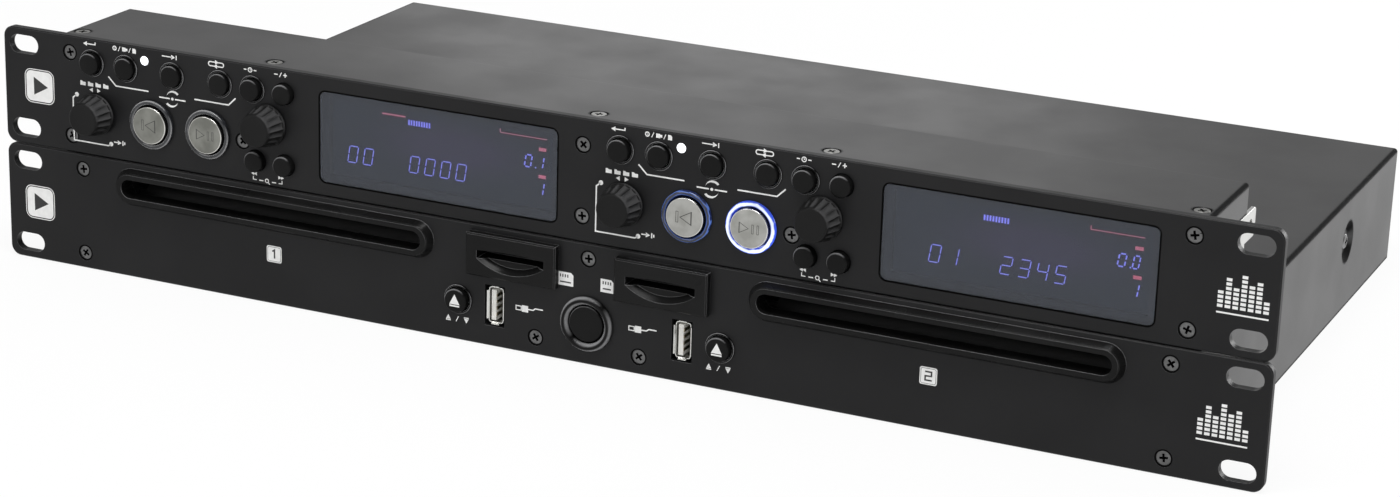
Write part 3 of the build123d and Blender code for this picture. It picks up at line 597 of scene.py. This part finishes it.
def makeRings(name, node, places, profile, finish):
    bm = bmesh.new()
    for x, z in places:
        addTurned(bm, profile, x, z, buttonShape["turns"], closed=True)
    piece = finishPiece(name, bm, "case", finish)
    if node:
        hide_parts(node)


ringPlaces = [spot(f"{name}_button_{deck}")[:2] for deck in deckLefts for name in ringedNames]
makeRings("buttonRings", "button_bezels", ringPlaces, ringProfile(4.3, 5.1, 0.6, 3.0), finishes["ring_black"])
guideProfile = ringProfile(7.5, 9.1, 1.6, 3.0)
guides = {"cueGuide1": (1, "cue", finishes["ring_clear"]), "playGuide1": (1, "play", finishes["ring_clear"]),
          "cueGuide2": (2, "cue", ringLitBlue), "playGuide2": (2, "play", ringLitWhite)}
for name, (deck, button, finish) in guides.items():
    makeRings(name, "light_rings" if name == "cueGuide1" else None, [spot(f"{button}_button_{deck}")[:2]],
              guideProfile, finish)
makeRings("ejectRings", "push_rings", [spot(f"eject_button_{deck}")[:2] for deck in deckLefts],
          ringProfile(4.65, 5.4, 0.7, 3.0), finishes["ring_black"])
powerRows = [(7.0, -3.0), (8.7, -3.0), (8.7, 0.0), (10.0, 0.0)]
for step in range(1, 13):  # the raised ring is higher at its outer side
    t = math.radians(180 * step / 12)
    powerRows.append((8.5 + 1.5 * math.cos(t), 0.2 + 1.9 * math.sin(t) + 0.1 * math.cos(t)))
makeRings("powerRing", None, [spot("power_button")[:2]], powerRows, finishes["ring_black"])
print("buttons and rings made")


# Cross-head screws, cut as real recesses

screwShape = {"armLong": 1.5, "armWide": 0.42, "recess": 1.1, "narrowLong": 0.62, "narrowWide": 0.55,
              "sides": 40, "seat": (2.55, 3.05), "seatSides": 32}
# (radius, height) down from the head's top; the pan head is low and round
screwRows = {"flat": [(2.48, 0), (2.6, -0.12), (1.5, -1.55), (1.5, -5.65)],
             "cover": [(2.6, 0), (2.72, -0.12), (1.5, -1.05), (1.5, -5.8)],
             "pan": [(2.0, 0), (2.5, -0.2), (2.85, -0.6), (3.0, -1.2), (1.5, -1.2), (1.5, -6.1)]}


def crossOutline(arm, half):
    quarter, corners = [(half, half), (half, arm), (-half, arm)], []
    for side in range(4):
        corners += quarter
        quarter = [(-y, x) for x, y in quarter]
    return corners[::-1]


def darken(bm, count):
    # painted shade: the newest faces take the second finish, a near black
    bm.faces.ensure_lookup_table()
    for face in bm.faces[-count:]:
        face.material_index = 1


def addScrew(bm, matrix, kind, spin):
    # the head's top lies at the local origin and the shank runs down local z
    shape, sides = screwShape, screwShape["sides"]

    def ring(points, height):
        out = []
        for px, py in points:
            turned = Matrix.Rotation(spin, 2) @ Vector((px, py))
            out.append(bm.verts.new(matrix @ Vector((turned.x * mm, turned.y * mm, height * mm))))
        return out

    circles = []
    for radius, height in screwRows[kind]:
        circles.append(ring(arc(0, 0, radius, 0, 360, sides)[:-1], height))
    for a, b in zip(circles, circles[1:]):
        for i in range(sides):
            bm.faces.new((a[i], a[(i + 1) % sides], b[(i + 1) % sides], b[i]))
    bm.faces.new(circles[-1])
    top = ring(crossOutline(shape["armLong"], shape["armWide"]), 0)
    narrow = crossOutline(shape["armLong"] * shape["narrowLong"], shape["armWide"] * shape["narrowWide"])
    low = ring(narrow, -shape["recess"])
    count = len(top)
    for i in range(count):
        bm.faces.new((top[i], top[(i + 1) % count], low[(i + 1) % count], low[i]))
    bm.faces.new(low)
    # painted shade: the cross recess takes the near-black finish
    darken(bm, count + 1)
    edges = []
    for loop in (circles[0], top):
        for i in range(len(loop)):
            a, b = loop[i], loop[(i + 1) % len(loop)]
            edges.append(bm.edges.get((a, b)) or bm.edges.new((a, b)))
    bmesh.ops.triangle_fill(bm, use_beauty=True, use_dissolve=False, edges=edges)


def makeScrews(name, node, places, slotName):
    # places are (location, direction that the head faces, kind)
    bm = bmesh.new()
    for location, direction, kind in places:
        turn = Vector((0, 0, 1)).rotation_difference(Vector(direction)).to_matrix().to_4x4()
        addScrew(bm, Matrix.Translation(location) @ turn, kind, dice.uniform(0, math.pi / 2))
    sides = screwShape["seatSides"]
    for middle, _, kind in places:
        if kind == "flat":  # a near-black ring laid over its countersink: painted shade
            addRing(bm, middle.x / mm, middle.z / mm, *screwShape["seat"], -0.2, 0.02, sides)
            darken(bm, 4 * sides)
    piece = finishPiece(name, bm, "case", [finishes[slotName], deepBlack], 25)
    if node:
        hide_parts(node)


dice = random.Random(7)
frontPlaces = [(place(at.x / mm, at.z / mm, -0.35), (0, -1, 0), "flat")
               for at in solidMiddles("panel_screws")]
makeScrews("panelCrossScrews", "panel_screws", frontPlaces, "screw_black")
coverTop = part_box("control_cover")[1].z
coverMiddles = solidMiddles("cover_screws")
topPlaces = [(Vector((at.x, at.y, coverTop - 0.15 * mm)), (0, 0, 1), "cover")
             for at in coverMiddles if at.z > coverTop - 0.01]
makeScrews("coverCrossScrews", "cover_screws", topPlaces, "screw_zinc")
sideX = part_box("player_cover")[1].x
sidePlaces = [(Vector((math.copysign(sideX - 0.6 * mm, at.x), at.y, at.z)),
               (math.copysign(1, at.x), 0, 0), "pan") for at in coverMiddles if at.z < coverTop - 0.01]
makeScrews("sideCrossScrews", None, sidePlaces, "screw_black")
print("screws made")


# Display windows: the tube's lit area behind the smoked plastic

gasketShape = {"wide": 94.4, "tall": 33.5, "corner": 2.5, "over": 0.4, "under": 0.15,
               "back": -0.12, "proud": 0.05}


def makeGaskets():
    # a thin black bead in the joint between each window and the panel
    shape = gasketShape
    bm = bmesh.new()
    for window in solidMiddles("display_windows"):
        x, z = window.x / mm, window.z / mm
        lines = []
        for grow in (-shape["under"], shape["over"]):
            wide, tall = shape["wide"] + 2 * grow, shape["tall"] + 2 * grow
            lines.append(roundBox(x, z, wide, tall, shape["corner"] + grow))
        addBand(bm, *lines, shape["back"], shape["proud"])
    finishPiece("windowGaskets", bm, "case", deepBlack)


makeGaskets()

displayShape = {"tubeWide": 88.0, "tubeTall": 28.2, "tubeDepth": 4.7, "tubeThick": 0.25, "lit": 0.05,
                "slant": 0.16, "line": 0.34, "digitPitch": 6.2, "barPitch": 1.02, "barCount": 9}
digitBars = {"0": "abcdef", "1": "bc", "2": "abged", "3": "abgcd", "4": "fgbc", "5": "afgcd"}


def addDigit(bm, text, x, z, wide, tall, line, low, high):
    gap, slant = line * 0.75, displayShape["slant"]
    bars = {"a": ((0, tall), (wide, tall)), "g": ((0, tall / 2), (wide, tall / 2)), "d": ((0, 0), (wide, 0)),
            "f": ((0, tall / 2), (0, tall)), "b": ((wide, tall / 2), (wide, tall)),
            "e": ((0, 0), (0, tall / 2)), "c": ((wide, 0), (wide, tall / 2))}
    for bar in digitBars[text]:
        start, end = (Vector(corner) for corner in bars[bar])
        short = (end - start).normalized() * gap
        ends = [(x + at.x + at.y * slant, z + at.y) for at in (start + short, end - short)]
        addLine(bm, ends, line, low, high)


def makeDisplay(deck, digits, first, count):
    shape = displayShape
    window = sorted(solidMiddles("display_windows"), key=lambda at: at.x)[deck - 1]
    cx, cz = window.x / mm, window.z / mm
    face = -shape["tubeDepth"]
    lit = (face, face + shape["lit"])
    bm = bmesh.new()
    addBar(bm, cx, cz, shape["tubeWide"], shape["tubeTall"], face - shape["tubeThick"], face)
    finishPiece(f"glowingTubeFace{deck}", bm, "case", glowingTubeFace)
    bm = bmesh.new()
    for i, text in enumerate(digits):
        if text != " ":
            addDigit(bm, text, cx + first + shape["digitPitch"] * i, cz - 8.9, 3.5, 6.0, shape["line"], *lit)
    for i in range(shape["barCount"]):  # a row of small bars in the middle
        addBar(bm, cx - 13.2 + shape["barPitch"] * i, cz + 9.2, 0.62, 1.9, *lit)
    addDigit(bm, "0", cx + 32.4, cz + 0.4, 2.4, 4.3, 0.5, *lit)
    addBar(bm, cx + 36.8, cz + 0.5, 0.5, 0.5, *lit)
    addDigit(bm, str(count), cx + 37.4, cz + 0.4, 2.0, 4.3, 0.45, *lit)
    addDigit(bm, "1", cx + 37.2, cz - 9.2, 2.4, 4.6, 0.45, *lit)
    finishPiece(f"blueSegments{deck}", bm, "case", segmentBlue)
    bm = bmesh.new()
    addLine(bm, [(cx + 22.9, cz + 12.4), (cx + 22.9, cz + 11.1), (cx + 41.0, cz + 11.1)], 0.28, *lit)
    for z in (7.3, -2.5):
        addBar(bm, cx + 39.4, cz + z, 2.8, 1.2, *lit)
    if deck == 1:
        addLine(bm, [(cx - 24.0, cz + 11.0), (cx - 14.6, cz + 11.0)], 0.5, *lit)
    finishPiece(f"redSegments{deck}", bm, "case", segmentRed)


makeDisplay(1, "00  0000", -38.0, 1)
makeDisplay(2, "01  2345", -31.8, 0)
print("displays made")


# White prints of the control unit

def finishInk(name, bm, body="case"):
    finishPiece(name, bm, body, whiteInk)


def drawBack(bm, x, z):
    addHead(bm, x - 1.9, z, 1.6, 180)
    addLine(bm, [(x - 1.3, z), (x + 2.4, z), (x + 2.4, z + 0.9)], 0.4)


def drawSource(bm, x, z):
    addRing(bm, x - 4.2, z, 0.5, 0.9)
    addDot(bm, x - 4.2, z, 0.2, 12)
    addLine(bm, [(x - 2.6, z - 0.9), (x - 1.8, z + 0.9)], 0.28)
    addBar(bm, x - 0.2, z, 1.5, 1.5)
    addBar(bm, x + 0.95, z, 0.8, 0.95)
    addLine(bm, [(x + 1.9, z - 0.9), (x + 2.7, z + 0.9)], 0.28)
    addFlat(bm, [(x + 3.5, z - 0.9), (x + 5.0, z - 0.9), (x + 5.0, z + 0.4), (x + 4.5, z + 0.9),
                 (x + 3.5, z + 0.9)])


def drawSingle(bm, x, z):
    addLine(bm, [(x - 3.2, z), (x + 1.2, z)], 0.4)
    addHead(bm, x + 1.5, z, 1.6)
    addBar(bm, x + 2.9, z, 0.4, 1.7)


def drawRepeat(bm, x, z):
    addBand(bm, roundBox(x, z, 5.9, 1.1, 0.5), roundBox(x, z, 6.7, 1.9, 0.9))
    for side, turn in ((1, 0), (-1, 180)):  # the heads lie on the band, so they are a little higher
        addHead(bm, x + side * 0.3, z + side * 0.75, 1.5, turn, high=printRise + 0.01)


def drawTime(bm, x, z):
    addRing(bm, x, z, 0.62, 0.95)
    addLine(bm, [(x, z + 0.5), (x, z), (x + 0.4, z)], 0.24)
    for side in (-1, 1):
        addLine(bm, [(x + side * 1.5, z), (x + side * 2.6, z)], 0.4)


def drawPitch(bm, x, z):
    addBar(bm, x - 1.9, z, 1.5, 0.4)
    addLine(bm, [(x - 0.45, z - 0.9), (x + 0.45, z + 0.9)], 0.3)
    addBar(bm, x + 1.9, z, 1.5, 0.4)
    addBar(bm, x + 1.9, z + 0.5, 0.4, 0.6)
    addBar(bm, x + 1.9, z - 0.5, 0.4, 0.6)


def drawFolders(bm, x, z):
    # a row of small folders over a pair of arrow heads
    for i in range(4):
        left = x - 6.3 + 3.3 * i
        addFlat(bm, [(left, z - 0.8), (left + 2.3, z - 0.8), (left + 2.3, z + 0.5), (left + 1.1, z + 0.5),
                     (left + 0.8, z + 0.85), (left, z + 0.85)])
    addHead(bm, x - 1.6, z - 2.1, 1.5, 180)
    addHead(bm, x + 1.6, z - 2.1, 1.5)


def drawPush(bm, x, z):
    addLine(bm, [(x - 2.3, z), (x - 0.2, z)], 0.4)
    addHead(bm, x + 0.1, z, 1.6)
    addBar(bm, x + 1.6, z, 0.45, 1.8)
    addBar(bm, x + 2.4, z, 0.45, 1.0)


def drawSearch(bm, x, z):
    # a small magnifier between two bars, and a pair of double arrow heads outside
    addRing(bm, x - 0.3, z + 0.2, 0.5, 0.82)
    addLine(bm, [(x + 0.2, z - 0.3), (x + 0.9, z - 1.0)], 0.36)
    for side in (-1, 1):
        addLine(bm, [(x + side * 1.8, z), (x + side * 3.5, z)], 0.4)
        ends = [(x + side * 4.6, z), (x + side * 6.0, z), (x + side * 6.0, z + 1.2)]
        addLine(bm, ends if side > 0 else ends[::-1], 0.32)
        for shift in (-0.55, 0.55):
            addHead(bm, x + side * 5.6 + shift, z + 2.2, 1.25, 0 if side > 0 else 180)


def drawLoop(bm, x, z):
    # two crescents that chase each other round a plain line
    crescents = ((40, 172, 0.45), (220, 352, -0.45))
    for start, end, lift in crescents:
        outer = arc(x + lift, z + lift * 0.6, 2.9, start, end, 20)
        inner = arc(x + lift * 0.2, z + lift * 0.1 - math.copysign(0.35, lift), 2.75, end - 6, start + 6, 20)
        addFlat(bm, outer + inner)
    for side in (-1, 1):
        addLine(bm, [(x + side * 1.1, z), (x + side * 5.6, z)], 0.5)
    addDot(bm, x, z, 0.55, 16)


labels = {"labelBack": (drawBack, 10.4, 42.0), "labelSource": (drawSource, 25.4, 42.0),
          "labelSingle": (drawSingle, 44.7, 42.0), "labelRepeat": (drawRepeat, 64.4, 42.0),
          "labelTime": (drawTime, 78.6, 42.0), "labelPitch": (drawPitch, 91.2, 42.0),
          "labelFolders": (drawFolders, 12.2, 26.9), "labelPush": (drawPush, 22.2, 6.4),
          "labelSearch": (drawSearch, 85.4, 1.6), "labelLoop": (drawLoop, 45.6, 26.4)}
deckLines = [[(18.2, 30.9), (21.4, 27.8), (35.4, 27.8)], [(55.0, 27.7), (69.4, 27.7), (72.4, 30.6)],
             [(3.9, 22.0), (2.5, 20.8), (2.5, 4.6), (17.4, 4.6), (18.5, 5.2)]]
deckDots = [(4.2, 22.2), (18.7, 5.4)]
for deck, left in deckLefts.items():
    for name, (draw, x, z) in labels.items():
        bm = bmesh.new()
        draw(bm, left + x, controlBase + z)
        finishInk(f"{name}{deck}", bm)
    bm = bmesh.new()
    for points in deckLines:
        addLine(bm, [(left + x, controlBase + z) for x, z in points], 0.5)
    for x, z in deckDots:
        addDot(bm, left + x, controlBase + z, 0.85)
    finishInk(f"deckLines{deck}", bm)


# Marks on the silver caps: a stop bar with an arrow head, and the play and pause outline

def outlineHead(bm, cx, cz, size, turn, inlay):
    addBand(bm, triangle(cx, cz, size * 0.80, turn), triangle(cx, cz, size, turn), *inlay)


def outlineBar(bm, cx, cz, width, height, inlay):
    addBand(bm, box(cx, cz, width - 0.36, height - 0.36), box(cx, cz, width, height), *inlay)


for deck in deckLefts:
    for button in litNames:
        bm = bmesh.new()
        x, z, proud = spot(f"{button}_button_{deck}")
        inlay = (proud - 0.03, proud + 0.005)
        if button == "cue":
            outlineBar(bm, x - 2.7, z, 1.0, 4.0, inlay)
            outlineHead(bm, x + 0.7, z, 4.6, 180, inlay)
        else:
            outlineHead(bm, x - 2.0, z, 3.7, 0, inlay)
            outlineBar(bm, x + 1.4, z, 0.8, 3.3, inlay)
            outlineBar(bm, x + 3.3, z, 0.8, 3.3, inlay)
        finishPiece(f"{button}Mark{deck}", bm, f"{button}_button_{deck}", engraving)
print("control prints made")


# Ears: a plain badge on the left one, level bars on the right one

def drawBadge(name, cx, cz):
    bm = bmesh.new()
    addBand(bm, roundBox(cx, cz, 12.3, 12.3, 2.5), roundBox(cx, cz, 12.9, 12.9, 2.8))
    addFlat(bm, roundBox(cx, cz, 11.5, 11.5, 2.1))
    finishInk(name, bm)
    bm = bmesh.new()
    addHead(bm, cx + 0.3, cz, 6.2, 0, *overprint)
    finishPiece(name + "Arrow", bm, "case", blackInk)


def drawLevels(name, cx, cz):
    bm = bmesh.new()
    for i, count in enumerate((4, 7, 5, 8, 6, 7, 3)):
        for k in range(count):
            addBar(bm, cx - 7.5 + 2.5 * i, cz - 5.4 + 1.5 * k, 1.8, 1.0)
    addBar(bm, cx, cz - 7.6, 17.0, 0.55)
    finishInk(name, bm)


drawBadge("controlBadge", -226.2, controlBase + 22.7)
drawBadge("playerBadge", -227.6, 22.2)
drawLevels("controlLevels", 229.8, controlBase + 21.6)
drawLevels("playerLevels", 226.6, 22.4)


# Prints of the player: numbers, card marks, plug marks and the eject marks

def drawNumber(deck, x, z):
    bm = bmesh.new()
    addFlat(bm, roundBox(x, z, 6.2, 6.2, 0.8))
    finishInk(f"numberPlate{deck}", bm)
    bm = bmesh.new()
    addBand(bm, roundBox(x, z, 5.2, 5.2, 0.6), roundBox(x, z, 5.5, 5.5, 0.7), *overprint)
    if deck == 1:
        addLine(bm, [(x - 0.75, z + 1.0), (x + 0.15, z + 1.6), (x + 0.15, z - 1.6)], 0.6, *overprint)
    else:
        points = [(x - 1.2, z + 1.5), (x + 1.1, z + 1.5), (x + 1.1, z + 0.05), (x - 1.1, z - 0.05),
                  (x - 1.1, z - 1.5), (x + 1.3, z - 1.5)]
        addLine(bm, points, 0.55, *overprint)
    finishPiece(f"numberInk{deck}", bm, "case", blackInk)


def drawCard(deck, left, low, wide, tall):
    # one corner of the card is cut off
    bm = bmesh.new()
    right, top, cut = left + wide, low + tall, 0.9
    addFlat(bm, [(left, low), (right, low), (right, top - cut), (right - cut, top), (left, top)])
    finishInk(f"cardPlate{deck}", bm)
    bm = bmesh.new()
    for i in range(4):
        addBar(bm, left + 1.0 + 0.95 * i, top - 1.35, 0.45, 1.1, *overprint)
    addBar(bm, left + wide / 2, low + 1.3, wide - 1.8, 0.5, *overprint)
    finishPiece(f"cardInk{deck}", bm, "case", blackInk)


def drawPlug(deck, x, z):
    # a plain plug with its lead
    bm = bmesh.new()
    addBand(bm, box(x - 4.1, z, 1.7, 1.1), box(x - 4.1, z, 2.4, 1.8))
    addBar(bm, x - 1.6, z, 2.4, 2.4)
    addLine(bm, [(x - 0.4, z), (x + 1.6, z), (x + 2.4, z + 0.7), (x + 5.4, z + 0.7)], 0.45)
    finishInk(f"plugMark{deck}", bm)


def drawOpenClose(deck, x, z):
    bm = bmesh.new()
    for side, turn in ((-1, 90), (1, 270)):
        addHead(bm, x + side * 3.6, z - side * 0.25, 1.7, turn)
        addBar(bm, x + side * 3.6, z + side * 0.85, 1.9, 0.4)
    addLine(bm, [(x - 0.5, z - 1.0), (x + 0.5, z + 1.0)], 0.32)
    finishInk(f"openCloseMark{deck}", bm)


def drawEject(deck, x, z):
    bm = bmesh.new()
    onCap = (2.86, 3.03)  # from just inside the cap's crown to just over it
    addHead(bm, x, z + 0.5, 3.7, 90, *onCap)
    addBar(bm, x, z - 1.75, 3.9, 0.55, *onCap)
    finishInk(f"ejectMark{deck}", bm, f"eject_button_{deck}")


drawNumber(1, -126.2, 19.0)
drawNumber(2, 126.2, 19.0)
drawCard(1, -11.6, 27.4, 6.0, 4.9)
drawCard(2, 4.9, 27.5, 4.9, 4.8)
drawPlug(1, -22.6, 16.1)
drawPlug(2, 21.2, 16.3)
for deck in deckLefts:
    ejectX, ejectZ = spot(f"eject_button_{deck}")[:2]
    drawOpenClose(deck, ejectX - 0.4, 7.7)
    drawEject(deck, ejectX, ejectZ)
print("player prints made")


# Sockets: thin folded shells with a flared spring lip on each side, and the contacts on their tongues

socketShape = {"wide": 5.7, "tall": 13.1, "wall": 0.3, "front": -0.5, "end": -16.0, "corner": 0.9,
               "side": 36.2, "lipOut": 0.55, "lipDeep": 0.7, "lipShort": 1.3, "lipHalf": 1.5}
contactShape = {"right": 1.015, "wide": 0.27, "tall": 1.1, "near": -1.4, "far": -8.9,
                "heights": (-3.5, -1.2, 1.2, 3.5)}


def makeSockets():
    shape = socketShape
    bm = bmesh.new()
    tongues = solidMiddles("usb_tongues")
    wide, tall, wall, corner = (shape[key] for key in ("wide", "tall", "wall", "corner"))
    for tongue in tongues:
        x, z = math.copysign(shape["side"], tongue.x), tongue.z / mm
        outer = roundBox(x, z, wide, tall, corner)
        inner = roundBox(x, z, wide - 2 * wall, tall - 2 * wall, corner - wall)
        addBand(bm, inner, outer, shape["end"], shape["front"] - shape["lipDeep"])
        for turn in range(4):
            upright = turn % 2 == 0
            half = wide / 2 if upright else tall / 2
            reach = tall / 2 - shape["lipShort"] if upright else shape["lipHalf"]
            side = 1 if turn < 2 else -1
            rows = []
            for out, deep in ((0, shape["lipDeep"]), (shape["lipOut"], 0), (shape["lipOut"] - 0.3, -0.05),
                              (-wall, shape["lipDeep"])):
                row = []
                for end in (-reach, reach):
                    across = side * (half + out)
                    dx, dz = (across, end) if upright else (end, across)
                    row.append(bm.verts.new(place(x + dx, z + dz, shape["front"] - deep)))
                rows.append(row)
            for a, b in zip(rows, rows[1:] + rows[:1]):
                bm.faces.new((a[0], a[1], b[1], b[0]))
            bm.faces.new([row[0] for row in rows])
            bm.faces.new([row[1] for row in rows][::-1])
    piece = finishPiece("usbShells", bm, "case", finishes["socket_steel"])
    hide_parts("usb_sockets")
    bm = bmesh.new()
    for tongue in tongues:
        for height in contactShape["heights"]:
            addBar(bm, tongue.x / mm + contactShape["right"], tongue.z / mm + height, contactShape["wide"],
                   contactShape["tall"], contactShape["far"], contactShape["near"])
    finishPiece("tongueContacts", bm, "case", goldContact)


makeSockets()
print("small pieces made")


# Floor, light and camera

studio = {"floorHalf": 6.0, "floorDrop": 0.2, "floorTone": 0.86, "floorWhite": 0.9, "soft": 0.55,
          "horizon": (0.04, 1.0), "ceiling": (0.42, 0.3)}


def seenRays(owner):
    # 1 for rays from the camera, in a gloss or through glass
    rays = addNode(owner, "LightPath").outputs
    either = reckon(owner, "MAXIMUM", rays["Is Camera Ray"], rays["Is Glossy Ray"])
    return reckon(owner, "MAXIMUM", either, rays["Is Transmission Ray"])


def mixed(owner, share, first, second):
    return addNode(owner, "MixShader", {"Fac": share, 1: first, 2: second}).outputs["Shader"]


def makeFloor():
    mesh = bpy.data.meshes.new("studioFloor")
    size = 2 * studio["floorHalf"]
    mesh.from_pydata([(x, y, 0) for x, y in box(0, 0, size, size)], [], [(0, 1, 2, 3)])
    floor = bpy.data.objects.new("studioFloor", mesh)
    floor.location.z = -studio["floorDrop"] * mm
    scene.collection.objects.link(floor)
    finish, shader = newFinish("paleFloor", studio["floorTone"], 0.8)
    white = addNode(finish, "Emission", {"Strength": 1.0}).outputs["Emission"]
    share = reckon(finish, "MULTIPLY", seenRays(finish), studio["floorWhite"])
    surface = mixed(finish, share, shader.outputs["BSDF"], white)
    feed(finish.node_tree.nodes["Material Output"], {"Surface": surface})
    mesh.materials.append(finish)


def makeWorld():
    world = bpy.data.worlds.new("studio")
    scene.world = world
    world.use_nodes = True
    world.node_tree.nodes.clear()
    # what shines back in gloss is white at the horizon and darker toward the ceiling
    way = addNode(world, "TexCoord").outputs["Generated"]
    height = addNode(world, "SeparateXYZ", {0: way}).outputs["Z"]
    (start, low), (end, high) = studio["horizon"], studio["ceiling"]
    ceiling = spread(world, height, low, high, start, end)
    straight = addNode(world, "LightPath").outputs["Is Camera Ray"]
    skies = []
    for strength in (studio["soft"], reckon(world, "MAXIMUM", straight, ceiling)):
        sky = addNode(world, "Background", {"Color": (1, 1, 1, 1), "Strength": strength})
        skies.append(sky.outputs["Background"])
    addNode(world, "OutputWorld", {"Surface": mixed(world, seenRays(world), *skies)})


def makeLamp(name, location, target, size, power):
    lamp = bpy.data.lights.new(name, "AREA")
    lamp.shape = "RECTANGLE"
    lamp.size, lamp.size_y = size
    lamp.energy = power
    holder = bpy.data.objects.new(name, lamp)
    holder.location = location
    holder.rotation_euler = (Vector(target) - Vector(location)).to_track_quat("-Z", "Y").to_euler()
    holder.visible_camera = False
    scene.collection.objects.link(holder)


# each lamp's place, what it looks at, its size in metres and its power
lamps = {"topSoftbox": ((0.2, -0.5, 1.4), (0, 0, 0.05), (0.9, 0.6), 14),
         "frontSoftbox": ((-0.9, -1.5, 0.9), (0, -0.1, 0.04), (0.8, 0.6), 5),
         "backSoftbox": ((-0.62, 1.4, 0.45), (-0.05, 0.05, 0.05), (0.6, 0.35), 0.65),
         "sideSoftbox": ((0.9, 1.0, 0.3), (0.22, 0.0, 0.03), (1.2, 0.5), 11)}
viewShape = {"eye": (0.48230, -1.10206, 0.40365), "target": (0.041946, -0.1295, 0.049338), "roll": 1.818,
             "focal": 3333.43, "pictureWidth": 1400, "sensor": 36.0}


def makeCamera():
    eye = Vector(viewShape["eye"])
    ahead = (Vector(viewShape["target"]) - eye).normalized()
    right = ahead.cross(Vector((0, 0, 1))).normalized()
    up = right.cross(ahead)
    roll = math.radians(viewShape["roll"])
    tiltedRight = right * math.cos(roll) + up * math.sin(roll)
    tiltedUp = up * math.cos(roll) - right * math.sin(roll)
    camera = bpy.data.cameras.new("studioCamera")
    camera.sensor_width = viewShape["sensor"]
    camera.lens = viewShape["focal"] / viewShape["pictureWidth"] * viewShape["sensor"]
    camera.clip_start = 0.01
    holder = bpy.data.objects.new("studioCamera", camera)
    turn = Matrix((tiltedRight, tiltedUp, -ahead)).transposed()
    holder.matrix_world = Matrix.Translation(eye) @ turn.to_4x4()
    scene.collection.objects.link(holder)
    scene.camera = holder


makeFloor()
makeWorld()
for name, settings in lamps.items():
    makeLamp(name, *settings)
makeCamera()
scene.view_settings.view_transform = "Standard"
print("stage made")
